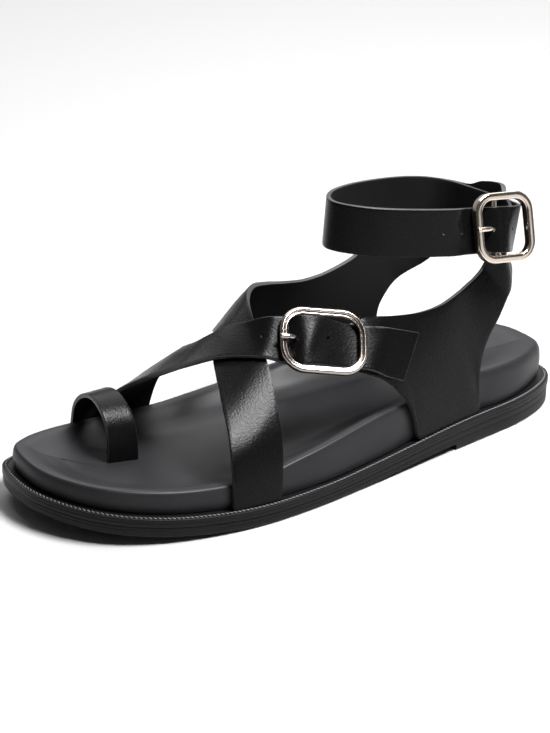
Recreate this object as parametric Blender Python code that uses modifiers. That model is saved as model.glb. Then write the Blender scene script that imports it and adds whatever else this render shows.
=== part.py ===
"""Strap sandal on a platform sole, with a toe loop and an ankle strap. Left shoe.

The shoe is worked out in millimetres, with x from heel to toe, y to the wearer's left (the
small-toe side) and z up from the floor. It is then centred on its sole and built in metres.
"""
import math

import bmesh
import bpy
from mathutils import Matrix, Vector

MM = 0.001
GAP = 0.3                    # clearance between two pieces that meet

# ---- sole -------------------------------------------------------------------------------
HEEL_TIP = (1.0, 1.0)
TOE_TIP = (262.2, -10.5)
SOLE_ROWS = (                # station, lateral edge, medial edge
    (3.0, 14.3, -11.0),
    (13.0, 23.8, -25.5),
    (33.0, 31.0, -33.0),
    (62.0, 35.0, -33.0),
    (94.0, 39.1, -30.8),
    (124.0, 42.7, -32.3),
    (154.0, 46.2, -39.0),
    (182.0, 47.1, -46.0),
    (206.0, 44.2, -48.8),
    (228.0, 37.5, -47.8),
    (246.0, 26.0, -43.3),
    (257.5, 9.5, -34.0),
)
SIDE_STEPS = 3               # mesh steps between two rows of the outline
CAP_STEPS = 6                # mesh steps across the middle of a flat face

HEEL_HEIGHT = 12.0           # floor to the top of the welt at the heel
BALL_HEIGHT = 8.2            # the same at the ball
HEEL_END = 74.0              # breast of the low heel
BREAST_STEP = 3.0            # how far the waist stands off the floor at the breast
BALL_START = 150.0           # where the waist meets the floor
SPRING_START = 172.0         # where the toe leaves the floor
SPRING_LENGTH = 90.0
TOE_SPRING = 6.9
SPRING_POWER = 1.7
WELT_THICKNESS = 3.6
EDGE_ROUND = 0.6
TREAD_INSET = 1.2

# ---- footbed ----------------------------------------------------------------------------
RIM_INSET = 4.6              # footbed wall, in from the welt's edge
RIM_BULGES = (               # station, how far the wall stands out where no strap passes it
    (14.0, 0.0),
    (30.0, 1.2),
    (46.0, 1.3),
    (58.0, 0.0),
    (99.0, 0.0),
    (112.0, 0.9),
    (150.0, 0.9),
    (170.0, 0.1),
    (180.0, 0.0),
)
RIM_ROWS = (                 # station, rim above the welt, depth of the dish below the rim
    (8.0, 14.6, 7.0),
    (20.0, 15.6, 7.4),
    (40.0, 16.9, 7.9),
    (60.0, 17.5, 8.0),
    (101.0, 18.4, 8.2),
    (120.0, 18.8, 8.2),
    (141.0, 17.2, 7.3),
    (163.0, 14.2, 6.2),
    (180.0, 11.5, 5.1),
    (202.0, 10.0, 4.6),
    (240.0, 9.3, 4.3),
    (258.0, 8.6, 4.1),
)
HEEL_ROUND = 1.1             # how much wider the rim rounds over at the heel
ARCH_RISE = 2.6              # of the medial rim over the arch of the foot
ARCH_STATION = 115.0
ARCH_SPREAD = 30.0
FOOTBED_PROFILE = (          # inset from the footbed wall, share of rim height, share of dish
    (0.6, 0.00, 0.0),
    (0.0, 0.07, 0.0),
    (-0.3, 0.42, 0.0),
    (0.0, 0.72, 0.0),
    (0.7, 0.89, 0.0),
    (2.0, 0.98, 0.0),
    (3.6, 1.00, 0.0),
    (5.6, 1.00, 0.12),
    (8.4, 1.00, 0.40),
    (12.0, 1.00, 0.72),
    (16.5, 1.00, 0.94),
)
SLOT_CLEAR = 0.5             # room round the toe loop's leg in the footbed
SLOT_DEPTH = 5.0
SLOT_RISE = 8.0              # how far the slot's cutter reaches over the dish

# ---- the foot form that the straps lie on -------------------------------------------------
STRAP = 2.0                  # thickness of the leather
ACROSS = 6                   # mesh steps across a strap
STRAP_STEPS = 3              # mesh steps between two rows of a strap's table
INSTEP_STEPS = 5             # and of the instep strap's, which bends sharply in its buckle
FORM_ROWS = (                # station, crest height, crest y, lateral power, medial power
    (30.0, 116.0, -3.0, 1.45, 5.0),
    (60.0, 116.0, -4.0, 1.5, 5.0),
    (80.0, 112.0, -4.0, 1.75, 4.2),
    (95.0, 105.0, -4.0, 1.8, 3.4),
    (110.0, 95.5, -4.0, 1.8, 2.9),
    (125.0, 86.0, -5.0, 1.8, 2.6),
    (142.0, 76.5, -5.0, 1.75, 2.39),
    (160.0, 65.1, -5.0, 1.75, 1.62),
    (182.0, 53.1, -2.0, 1.8, 1.75),
    (197.0, 47.7, -7.3, 1.9, 1.34),
    (212.0, 41.5, -9.9, 2.0, 1.2),
)
FORM_SLOPE = 0.45            # fall of the form's crest towards the toe
FORM_RIM_HEEL = 15.4         # the form leaves the wall near this height above the welt
FORM_RIM_BALL = 10.9
FORM_ARCH = 7.0
FORM_ARCH_SPREAD = 42.0
WALL_ANGLE = 30.0            # strap angles below 0 and over 180 degrees run down the footbed
WALL_INSET = 3.8             # inner face of a strap beside the footbed, in from the welt's edge
WALL_SHARE = 0.9             # share of that height that the straps follow straight up

# Cross strap, from the lateral sole over the instep: angle round the form, front, rear edge.
CROSS_ROWS = (
    (-30.0, 197.8, 175.6),
    (-2.0, 198.0, 175.2),
    (20.0, 196.8, 173.2),
    (38.0, 193.0, 169.6),
    (60.0, 187.2, 163.2),
    (84.0, 178.2, 156.0),
    (104.0, 168.0, 149.6),
)
# Quarters: station and height of the lower edge, station and height of the top edge.
ROOT = 0.0                   # a lower height of 0 stands for the top of the welt
MEDIAL_ROWS = (
    (157.0, 52.0, 141.4, 70.9),
    (144.0, 47.0, 131.2, 68.8),
    (130.0, 41.0, 121.5, 66.7),
    (116.0, 33.0, 111.0, 65.0),
    (104.0, 22.0, 102.0, 65.0),
    (97.0, ROOT, 95.0, 65.8),
    (82.0, ROOT, 88.0, 67.1),
    (66.5, ROOT, 82.5, 68.4),
    (66.2, 37.0, 78.8, 70.0),
    (62.5, 46.0, 76.5, 72.5),
    (54.5, 52.8, 74.5, 75.5),
)
LATERAL_ROWS = (
    (39.8, 58.5, 50.5, 74.3),
    (46.1, 51.6, 56.0, 71.2),
    (52.5, 45.8, 62.5, 69.1),
    (57.5, 39.0, 68.0, 67.8),
    (60.0, 30.0, 74.0, 66.7),
    (59.8, ROOT, 80.5, 65.7),
    (70.0, ROOT, 88.0, 65.3),
    (82.0, ROOT, 95.5, 65.5),
    (95.5, ROOT, 104.0, 66.3),
    (99.9, 22.5, 111.0, 67.1),
    (105.0, 32.3, 117.0, 67.8),
    (115.0, 42.3, 123.0, 67.0),
    (126.0, 47.8, 129.0, 66.0),
    (137.0, 52.0, 134.5, 65.5),
    (144.5, 54.0, 140.0, 65.5),
)
# Back stay: angle round the ankle and height from the ankle strap's middle line for its lower
# and top edge, then how far each edge's inner face lies out from the middle of that strap.
OUTSIDE = 1.5
INSIDE = -3.6
STAY_ROWS = (
    (231.0, -29.5, 277.0, -10.0, OUTSIDE, OUTSIDE),
    (222.0, -26.0, 268.0, 2.0, OUTSIDE, OUTSIDE),
    (212.0, -21.5, 256.0, 8.0, OUTSIDE, OUTSIDE),
    (200.0, -17.5, 238.0, 9.2, OUTSIDE, OUTSIDE),
    (190.0, -15.5, 214.0, 9.5, OUTSIDE, OUTSIDE),
    (180.0, -15.0, 192.0, 10.2, OUTSIDE, OUTSIDE),
    (172.0, -15.0, 178.0, 13.2, OUTSIDE, OUTSIDE),
    (162.0, -15.0, 164.0, 14.5, OUTSIDE, OUTSIDE),
    (155.0, -15.0, 155.0, 14.5, OUTSIDE, OUTSIDE),
    (142.0, -16.0, 141.0, 13.5, 1.5, INSIDE),
    (134.0, -18.5, 130.0, 9.5, 2.0, INSIDE),
    (130.0, -22.5, 116.0, 4.0, 1.0, INSIDE),
    (126.0, -27.5, 105.0, -6.0, 0.0, INSIDE),
)

# Instep strap, from its tail to the medial sole: front edge station and angle, rear edge
# station and angle, and how far its inner face lies off the form.
INSTEP_ROWS = (
    (109.0, 18.0, 97.0, 28.5, 3.6),
    (117.5, 23.0, 107.5, 34.5, 3.2),
    (126.5, 29.0, 119.0, 42.0, 2.4),
    (135.5, 35.0, 128.5, 49.0, 1.7),
    (145.0, 41.4, 137.5, 57.6, 1.7),
    (153.5, 47.5, 146.5, 66.1, 1.7),
    (163.5, 59.4, 154.0, 74.2, 1.7),
    (176.0, 76.1, 163.5, 87.0, 1.7),
    (188.0, 87.6, 170.5, 100.8, 1.6),
    (196.0, 94.7, 174.5, 109.7, 1.2),
    (200.5, 110.3, 175.0, 126.0, 0.7),
    (202.5, 133.2, 175.5, 145.3, 0.3),
    (203.5, 157.8, 177.5, 158.4, 0.0),
    (204.0, 182.0, 179.0, 183.0, 0.0),
    (204.5, 210.0, 179.5, 210.0, 0.0),
)
# Toe loop, from the medial sole over the big toe to the footbed's slot: y, z, rear and
# front station, and how far the front edge lies more to the medial side. A height of 0 stands
# for the top of the welt.
LOOP_END = 11.2
LOOP_ROWS = (
    (-45.0, ROOT, 203.3, 216.2, 0.0),
    (-44.4, 18.4, 203.3, 216.0, 0.0),
    (-42.2, 27.0, 204.0, 216.4, 0.0),
    (-36.5, 33.2, 205.3, 217.2, 0.0),
    (-27.5, 36.6, 206.6, 218.8, 0.0),
    (-18.8, 35.0, 207.6, 220.4, 0.5),
    (-12.0, 29.0, 208.3, 221.4, 1.3),
    (-9.0, 19.5, 208.7, 222.2, 2.0),
    (-9.0, LOOP_END, 208.9, 222.8, 2.2),
)

# ---- ankle strap --------------------------------------------------------------------------
ANKLE_ROWS = (               # plan of its middle line, a row for each 30 degrees from the front
    (119.5, 3.0),
    (108.2, 15.1),
    (84.0, 22.0),
    (56.3, 24.6),
    (36.6, 23.2),
    (35.0, 9.5),
    (35.5, -5.0),
    (38.0, -19.5),
    (46.0, -27.5),
    (63.0, -28.5),
    (89.0, -22.5),
    (110.0, -11.5),
)
ANKLE_CENTRE = (68.7, -2.0, 93.0)
ANKLE_PITCH = 0.16           # rise towards the front
ANKLE_ROLL = 0.05            # rise towards the lateral side
ANKLE_FLARE = 0.10           # how far the top leans out, per unit of height
ANKLE_WIDTH = 20.6
ANKLE_STATIONS = 72          # mesh steps round the ankle strap
STAY_TURN = 2.0              # the stay is at its top edge's depth this far below the strap
STAY_SLOT_FROM = 139.5       # the strap comes out through the stay between these angles
STAY_SLOT_TO = 156.0
STAY_SLOT_DEPTH = 5.0

# ---- buckles ----------------------------------------------------------------------------------
# Length along the strap, width across it, width of the frame's face, corner radius, thickness;
# the middle bar's place along the strap, its height over the form and its radius; height of the
# strap's inner face under the end bars (seat) and over the middle bar (lift); and whether the
# strap keeps its own line on the tail's side (open_end). Then the frame's shift along and across
# the strap, and its turn and lean in degrees.
INSTEP_BUCKLE = {
    "length": 37.2, "width": 28.0, "face": 3.2, "corner": 10.5, "thick": 3.0,
    "bar_place": -8.6, "bar_height": 1.7, "bar_radius": 1.1, "seat": -0.4, "lift": 3.2,
    "open_end": False, "shift": (-2.1, 0.1), "turn": 3.2, "lean": 0.0,
}
ANKLE_BUCKLE = {
    "length": 28.9, "width": 29.6, "face": 3.3, "corner": 8.5, "thick": 4.0,
    "bar_place": -2.0, "bar_height": 2.8, "bar_radius": 1.2, "seat": 1.2, "lift": 4.5,
    "open_end": True, "shift": (3.5, 0.7), "turn": -8.0, "lean": -19.0,
}
INSTEP_BUCKLE_SEAT = (138.5, 47.0)   # station and angle on the form
ANKLE_BUCKLE_ANGLE = 97.0            # angle round the ankle strap
PRONG_RADIUS = 1.1
PRONG_HOLE = 1.5            # radius of the hole that it comes up through
FRAME_ROUND = 0.7
SEAT_GAP = 0.6               # clearance between a strap and the buckle's end bars
HUMP_END = 3.0               # the rise over the bar ends this far before the end bars
SEAT_FLAT = 2.4              # a strap stays flat this far past a buckle's end bars
SEAT_RELEASE = 9.0           # then comes back to its own line over this length
CORNER_STEPS = 6             # mesh steps round a buckle's corner
SHARP_ANGLE = math.radians(35.0)

LEATHER = (0.022, 0.022, 0.024)
RUBBER = (0.018, 0.018, 0.019)
LINING = (0.030, 0.030, 0.031)
METAL = (0.83, 0.78, 0.69)

COLLECTION = "strap_sandal"
CUTTERS = "strap_sandal_cutters"


# ---- curves and tables ----------------------------------------------------------------------
def blend(a, b, t):
    return a + (b - a) * t


def ease(t):
    t = min(max(t, 0.0), 1.0)
    return t * t * (3.0 - 2.0 * t)


def hermite(p0, p1, p2, p3, t):
    """Point between p1 and p2 on the smooth curve that also runs through p0 and p3."""
    return tuple(
        0.5 * (2 * b + (c - a) * t + (2 * a - 5 * b + 4 * c - d) * t * t
               + (3 * b - a - 3 * c + d) * t ** 3)
        for a, b, c, d in zip(p0, p1, p2, p3))


def through(points, steps, closed=False):
    """Smooth curve through points, with a number of steps between each two of them."""
    count = len(points)
    spans = count if closed else count - 1
    curve = []
    for i in range(spans):
        if closed:
            near = [points[(i + k) % count] for k in (-1, 0, 1, 2)]
        else:
            near = [points[min(max(i + k, 0), count - 1)] for k in (-1, 0, 1, 2)]
        curve += [hermite(*near, s / steps) for s in range(steps)]
    if not closed:
        curve.append(tuple(points[-1]))
    return curve


def read_table(rows, place):
    """Smooth values of a table's other columns where its first column equals place."""
    last = len(rows) - 1
    if place <= rows[0][0]:
        return rows[0][1:]
    if place >= rows[last][0]:
        return rows[last][1:]
    i = max(k for k in range(last) if rows[k][0] <= place)
    span = rows[i + 1][0] - rows[i][0]
    t = (place - rows[i][0]) / span
    values = []
    for column in range(1, len(rows[0])):
        def slope(k):
            low, high = max(k - 1, 0), min(k + 1, last)
            return (rows[high][column] - rows[low][column]) / (rows[high][0] - rows[low][0])
        a, b = rows[i][column], rows[i + 1][column]
        rise_a, rise_b = slope(i) * span, slope(i + 1) * span
        values.append(a + rise_a * t + (3 * (b - a) - 2 * rise_a - rise_b) * t * t
                      + (2 * (a - b) + rise_a + rise_b) * t ** 3)
    return tuple(values)


# ---- sole shape -------------------------------------------------------------------------------
def sole_outline():
    """Closed outline, heel tip first, then the lateral side to the toe and the medial back."""
    lateral = [(x, left) for x, left, _ in SOLE_ROWS]
    medial = [(x, right) for x, _, right in reversed(SOLE_ROWS)]
    return through([HEEL_TIP] + lateral + [TOE_TIP] + medial, SIDE_STEPS, closed=True)


OUTLINE = sole_outline()
HALF = len(OUTLINE) // 2
CENTRE_X = (min(x for x, _ in OUTLINE) + max(x for x, _ in OUTLINE)) / 2
CENTRE_Y = (min(y for _, y in OUTLINE) + max(y for _, y in OUTLINE)) / 2


def inset_outline(distance, change=None):
    """The outline moved inwards along its normals; change(x) adds to the distance."""
    moved = []
    count = len(OUTLINE)
    for i, (x, y) in enumerate(OUTLINE):
        ahead, behind = OUTLINE[(i + 1) % count], OUTLINE[i - 1]
        along = Vector((ahead[0] - behind[0], ahead[1] - behind[1])).normalized()
        reach = distance + (change(x) if change else 0.0)
        moved.append((x + along.y * reach, y - along.x * reach))
    return moved


def edge_y(x, side, inset=0.0):
    """The sole's edge at a station, on the lateral side (1) or the medial side (-1)."""
    points = inset_outline(inset)
    points = points[:HALF + 1] if side > 0 else [points[0]] + points[:HALF - 1:-1]
    for (xa, ya), (xb, yb) in zip(points, points[1:]):
        if xa <= x <= xb:
            return blend(ya, yb, (x - xa) / (xb - xa))
    return points[-1][1]


WALL_Y = {
    side: [(x, edge_y(x, side, WALL_INSET)) for x in range(20, 241, 5)]
    for side in (1, -1)
}


def toe_spring(x):
    return TOE_SPRING * max((x - SPRING_START) / SPRING_LENGTH, 0.0) ** SPRING_POWER


def welt_top(x):
    waist = ease((x - HEEL_END + 14.0) / (BALL_START - HEEL_END + 14.0))
    return blend(HEEL_HEIGHT, BALL_HEIGHT, waist) + toe_spring(x)


def rim_height(x):
    return read_table(RIM_ROWS, x)[0]


def dish_depth(x):
    return read_table(RIM_ROWS, x)[1]


def rim_ring(inset):
    """Ring of the footbed's wall or rim, rounder at the heel."""
    def change(x):
        heel = 1.0 - ease((x - 15.0) / 60.0)
        return max(inset, 0.0) * HEEL_ROUND * heel - read_table(RIM_BULGES, x)[0]
    return inset_outline(RIM_INSET + inset, change)


def middle_y(x):
    x = min(max(x, 20.0), 240.0)
    return (read_table(WALL_Y[1], x)[0] + read_table(WALL_Y[-1], x)[0]) / 2


def arch_rise(x):
    return ARCH_RISE * math.exp(-((x - ARCH_STATION) / ARCH_SPREAD) ** 2)


def arch(x, y):
    """Rise of the footbed's medial side over the arch of the foot."""
    station = min(max(x, 20.0), 240.0)
    reach = middle_y(station) - read_table(WALL_Y[-1], station)[0]
    share = min(max((middle_y(station) - y) / reach, 0.0), 1.0)
    return arch_rise(x) * share ** 1.4


# ---- the form under the straps ------------------------------------------------------------------
def form_size(x):
    crest, crest_y, lateral_power, medial_power = read_table(FORM_ROWS, x)
    lateral = read_table(WALL_Y[1], x)[0] - crest_y
    medial = crest_y - read_table(WALL_Y[-1], x)[0]
    return crest, crest_y, lateral, medial, lateral_power, medial_power


def form_base(x, side):
    """Height where the form leaves the footbed's wall and starts to round over."""
    rise = blend(FORM_RIM_HEEL, FORM_RIM_BALL, ease((x - 25.0) / 130.0))
    if side < 0:
        rise += FORM_ARCH * math.exp(-((x - ARCH_STATION) / FORM_ARCH_SPREAD) ** 2)
    return welt_top(x) + GAP + WALL_SHARE * rise


def on_form(x, angle, off=0.0):
    """Point on the form: 0 degrees on the lateral wall, 90 on the crest, 180 on the medial."""
    crest, crest_y, lateral, medial, lateral_power, medial_power = form_size(x)
    side = 1 if angle <= 90.0 else -1
    base, root = form_base(x, side), welt_top(x) + GAP
    reach = lateral if side > 0 else -medial
    power = lateral_power if side > 0 else medial_power
    if angle < 0.0 or angle > 180.0:
        depth = min(-angle if angle < 0.0 else angle - 180.0, WALL_ANGLE) / WALL_ANGLE
        return Vector((x, crest_y + reach + side * off, blend(base, root, depth)))
    turn = math.radians(angle)
    width, height = abs(math.cos(turn)), math.sin(turn)
    y = crest_y + reach * width ** (2.0 / power)
    z = base + (crest - base) * height ** (2.0 / power)
    across = width ** (2.0 - 2.0 / power) / abs(reach)
    up = height ** (2.0 - 2.0 / power) / (crest - base)
    outward = Vector((FORM_SLOPE * up, side * across, up)).normalized()
    return Vector((x, y, z)) + outward * off


def form_angle(x, z, side):
    """Angle on the form at a station and height; 0 stands for the top of the welt."""
    crest, _, _, _, lateral_power, medial_power = form_size(x)
    base, root = form_base(x, side), welt_top(x) + GAP
    if z < base:
        depth = min((base - max(z, root)) / (base - root), 1.0) * WALL_ANGLE
        return -depth if side > 0 else 180.0 + depth
    power = lateral_power if side > 0 else medial_power
    turn = math.degrees(math.asin(min((z - base) / (crest - base), 1.0) ** (power / 2.0)))
    return turn if side > 0 else 180.0 - turn


def form_rung(low, high, off=0.0, steps=ACROSS):
    """Points across a strap, between two (station, angle) places on the form."""
    return [on_form(blend(low[0], high[0], k / steps), blend(low[1], high[1], k / steps), off)
            for k in range(steps + 1)]


# ---- the ankle strap's path -----------------------------------------------------------------------
ANKLE_PLAN = through(ANKLE_ROWS, 10, closed=True)
ANKLE_NORMAL = Vector((-ANKLE_PITCH, -ANKLE_ROLL, 1.0)).normalized()


def ankle_plan(angle):
    place = (angle % 360.0) / 360.0 * len(ANKLE_PLAN)
    i = int(place)
    a, b = ANKLE_PLAN[i % len(ANKLE_PLAN)], ANKLE_PLAN[(i + 1) % len(ANKLE_PLAN)]
    return Vector((blend(a[0], b[0], place - i), blend(a[1], b[1], place - i)))


def on_ankle(angle, height, out=0.0):
    """Point round the ankle: height from the strap's middle line, out from its middle."""
    here = ankle_plan(angle)
    along = ankle_plan(angle + 3.0) - ankle_plan(angle - 3.0)
    outward = Vector((along.y, -along.x, 0.0)).normalized()
    level = (ANKLE_CENTRE[2] + ANKLE_PITCH * (here.x - ANKLE_CENTRE[0])
             + ANKLE_ROLL * (here.y - ANKLE_CENTRE[1]))
    below = max(-ANKLE_WIDTH / 2 - height, 0.0)
    point = Vector((here.x, here.y, level - below)) + ANKLE_NORMAL * (height + below)
    return point + outward * (out + ANKLE_FLARE * (height + below))


# ---- buckle places ----------------------------------------------------------------------------------
def frame_at(origin, along, across, buckle):
    """Local frame: x along the strap to its tail, y across it, z out of it."""
    along = along.normalized()
    out = along.cross(across).normalized()
    across = out.cross(along)
    back, up = buckle["shift"]
    turn = Matrix.Rotation(math.radians(buckle["turn"]), 4, "Y")
    lean = Matrix.Rotation(math.radians(buckle["lean"]), 4, "X")
    rotation = Matrix((along, across, out)).transposed().to_4x4() @ turn @ lean
    return rotation, origin + along * back + across * up


def instep_buckle_place():
    x, angle = INSTEP_BUCKLE_SEAT
    first, last = INSTEP_ROWS[2], INSTEP_ROWS[6]
    tail = (on_form(first[0], first[1]) + on_form(first[2], first[3])) / 2
    head = (on_form(last[0], last[1]) + on_form(last[2], last[3])) / 2
    row = INSTEP_ROWS[4]
    across = on_form(row[2], row[3]) - on_form(row[0], row[1])
    return frame_at(on_form(x, angle), tail - head, across, INSTEP_BUCKLE)


def ankle_buckle_place():
    angle = ANKLE_BUCKLE_ANGLE
    along = (on_ankle(angle + 7.0, 0.0) - on_ankle(angle - 7.0, 0.0)).normalized()
    across = (on_ankle(angle, 5.0) - on_ankle(angle, -5.0)).normalized()
    return frame_at(on_ankle(angle, 0.0, INSIDE + STRAP), along, across, ANKLE_BUCKLE)


def seat_in_buckle(point, buckle, place):
    """Lift a strap's inner face over the buckle's bar and lay it flat under its ends."""
    rotation, origin = place
    local = rotation.inverted() @ (point - origin)
    reach = buckle["length"] / 2 - buckle["face"] / 2
    side = local.x - buckle["bar_place"]
    run = reach + (buckle["bar_place"] if side < 0 else -buckle["bar_place"]) - HUMP_END
    hump = 0.5 + 0.5 * math.cos(math.pi * min(abs(side) / run, 1.0))
    rest = local.z if side > 0 and buckle["open_end"] else buckle["seat"]
    wanted = blend(rest, buckle["lift"], hump)
    hold = 1.0 - ease((abs(local.x) - reach - SEAT_FLAT) / SEAT_RELEASE)
    hold *= 1.0 - ease((abs(local.z) - SEAT_RELEASE) / SEAT_RELEASE)
    local.z = blend(local.z, wanted, hold)
    return rotation @ local + origin


# ---- building --------------------------------------------------------------------------------------
def clear_scene():
    for thing in list(bpy.data.objects):
        bpy.data.objects.remove(thing, do_unlink=True)


def make_collection(name):
    collection = bpy.data.collections.new(name)
    bpy.context.scene.collection.children.link(collection)
    return collection


def make_material(name, colour, roughness, metallic=0.0):
    material = bpy.data.materials.new(name)
    material.use_nodes = True
    shader = material.node_tree.nodes["Principled BSDF"]
    shader.inputs["Base Color"].default_value = (*colour, 1.0)
    shader.inputs["Roughness"].default_value = roughness
    shader.inputs["Metallic"].default_value = metallic
    return material


def to_world(point):
    return Vector((point[0] - CENTRE_X, point[1] - CENTRE_Y, point[2])) * MM


def add_object(name, points, faces, collection, material=None):
    mesh = bpy.data.meshes.new(name)
    mesh.from_pydata([to_world(p) for p in points], [], faces)
    mesh.validate()
    mesh.shade_smooth()
    mesh.set_sharp_from_angle(angle=SHARP_ANGLE)
    if material:
        mesh.materials.append(material)
    thing = bpy.data.objects.new(name, mesh)
    collection.objects.link(thing)
    return thing


def hide_cutter(thing):
    thing.hide_render = True
    thing.display_type = "WIRE"
    return thing


def add_boolean(thing, other, operation):
    modifier = thing.modifiers.new(operation.lower() + "_" + other.name, "BOOLEAN")
    modifier.operation = operation
    modifier.solver = "EXACT"
    modifier.object = other


def ring_solid(name, rings, collection, material, cap_height):
    """Closed body through outline rings, bottom first, with both ends closed by cross rows."""
    points, faces = [], []
    count = len(rings[0])
    for ring in rings:
        points += ring
    for r in range(len(rings) - 1):
        a, b = r * count, (r + 1) * count
        faces += [(a + i, b + i, b + (i + 1) % count, a + (i + 1) % count) for i in range(count)]
    for start, up in ((0, False), ((len(rings) - 1) * count, True)):
        add_cap(points, faces, start, count, up, cap_height if up else None)
    return add_object(name, points, faces, collection, material)


def add_cap(points, faces, start, count, up, height):
    """Close a ring with rows that run across it, from its lateral to its medial side."""
    half = count // 2
    rows = []
    for j in range(1, half):
        left, right = start + j, start + count - j
        row = [left]
        for k in range(1, CAP_STEPS):
            t = k / CAP_STEPS
            point = [blend(points[left][c], points[right][c], t) for c in range(3)]
            if height:
                point[2] = height(point[0], point[1])
            row.append(len(points))
            points.append(tuple(point))
        rows.append(row + [right])
    new = []
    for near, far in zip(rows, rows[1:]):
        new += [(near[k], far[k], far[k + 1], near[k + 1]) for k in range(CAP_STEPS)]
    new += [(start, rows[0][k], rows[0][k + 1]) for k in range(CAP_STEPS)]
    new += [(start + half, rows[-1][k + 1], rows[-1][k]) for k in range(CAP_STEPS)]
    faces += [tuple(reversed(face)) for face in new] if up else new


def level_ring(distance, height):
    return [(x, y, height(x)) for x, y in inset_outline(distance)]


def strap_sheet(name, rungs, collection, material, steps, closed=False):
    """Leather strap: a sheet through its rungs, given its thickness on its outer side."""
    width = len(rungs[0])
    lines = [through([tuple(rung[k]) for rung in rungs], steps, closed) for k in range(width)]
    length = len(lines[0])
    points = [lines[k][i] for i in range(length) for k in range(width)]
    points = [(x, y, max(z, welt_top(x) + GAP)) for x, y, z in points]
    spans = length if closed else length - 1
    faces = []
    for i in range(spans):
        a, b = i * width, ((i + 1) % length) * width
        faces += [(a + k, a + k + 1, b + k + 1, b + k) for k in range(width - 1)]
    thing = add_object(name, points, faces, collection, material)
    solidify = thing.modifiers.new("leather", "SOLIDIFY")
    solidify.thickness = STRAP * MM
    solidify.offset = 1.0
    solidify.use_even_offset = False
    return thing


def seat_vertices(thing, buckle, place):
    """Seat a strap sheet's inner face in its buckle."""
    for vertex in thing.data.vertices:
        point = vertex.co / MM + Vector((CENTRE_X, CENTRE_Y, 0.0))
        vertex.co = to_world(seat_in_buckle(point, buckle, place))


# ---- sole pieces ----------------------------------------------------------------------------------
def build_outsole(parts, cutters, material):
    def top(x):
        return welt_top(x) - WELT_THICKNESS - GAP
    rings = [
        level_ring(TREAD_INSET, toe_spring),
        level_ring(0.4, lambda x: toe_spring(x) + EDGE_ROUND),
        level_ring(0.3, top),
    ]
    outsole = ring_solid("outsole", rings, parts, material, None)
    waist = []
    steps = 8
    for i in range(steps + 1):
        x = blend(HEEL_END, BALL_START, i / steps)
        rise = BREAST_STEP * (1.0 - ease(i / steps))
        waist += [(x, side * 60.0, z) for side in (1, -1) for z in (-2.0, rise)]
    faces = [(0, 2, 3, 1), tuple(4 * steps + k for k in (0, 1, 3, 2))]
    for i in range(steps):
        a, b = 4 * i, 4 * (i + 1)
        for p, q in ((0, 1), (1, 3), (3, 2), (2, 0)):
            faces.append((a + p, a + q, b + q, b + p))
    cutter = hide_cutter(add_object("waist_cutter", waist, faces, cutters))
    add_boolean(outsole, cutter, "DIFFERENCE")


def build_welt(parts, material):
    rings = [
        level_ring(EDGE_ROUND, lambda x: welt_top(x) - WELT_THICKNESS),
        level_ring(0.0, lambda x: welt_top(x) - WELT_THICKNESS + EDGE_ROUND),
        level_ring(0.0, lambda x: welt_top(x) - EDGE_ROUND),
        level_ring(EDGE_ROUND, welt_top),
    ]
    ring_solid("welt", rings, parts, material, None)


def build_footbed(parts, cutters, material):
    rings = []
    for inset, height, dish in FOOTBED_PROFILE:
        ring = []
        for x, y in rim_ring(inset):
            rise = height * (rim_height(x) + arch(x, y)) - dish * dish_depth(x)
            ring.append((x, y, welt_top(x) + GAP + rise))
        rings.append(ring)

    def dish_floor(x, y):
        return welt_top(x) + GAP + rim_height(x) - dish_depth(x) + arch(x, y)
    footbed = ring_solid("footbed", rings, parts, material, dish_floor)

    foot = LOOP_ROWS[-1]
    length = foot[3] - foot[2] + 2 * SLOT_CLEAR
    middle = (foot[2] + foot[3]) / 2
    floor = dish_floor(middle, foot[0])
    centre = (middle, foot[0] + (STRAP - foot[4]) / 2, floor + (SLOT_RISE - SLOT_DEPTH) / 2)
    size = (length, STRAP + foot[4] + 2 * SLOT_CLEAR, SLOT_DEPTH + SLOT_RISE)
    add_boolean(footbed, add_box("loop_slot_cutter", centre, size, cutters), "DIFFERENCE")


def add_box(name, centre, size, collection):
    mesh = bpy.data.meshes.new(name)
    box = bmesh.new()
    bmesh.ops.create_cube(box, size=1.0)
    bmesh.ops.scale(box, vec=Vector(size) * MM, verts=box.verts)
    bmesh.ops.translate(box, vec=to_world(centre), verts=box.verts)
    box.to_mesh(mesh)
    box.free()
    thing = bpy.data.objects.new(name, mesh)
    collection.objects.link(thing)
    return hide_cutter(thing)


# ---- upper ----------------------------------------------------------------------------------------
def quarter_rung(row, side, steps=ACROSS):
    low_x, low_z, high_x, high_z = row
    if low_z == ROOT:
        low_z = welt_top(low_x) + GAP
    rung = []
    for k in range(steps + 1):
        x, z = blend(low_x, high_x, k / steps), blend(low_z, high_z, k / steps)
        rung.append(on_form(x, form_angle(x, z, side)))
    return rung


def stay_rung(row, steps=ACROSS):
    low_angle, low, high_angle, high, low_out, high_out = row
    rung = []
    for k in range(steps + 1):
        t = k / steps
        height = blend(low, high, t)
        turn = min((height - low) / (-ANKLE_WIDTH / 2 - STAY_TURN - low), 1.0)
        out = blend(low_out, high_out, turn)
        rung.append(on_ankle(blend(low_angle, high_angle, t), height, out))
    return rung


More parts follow.
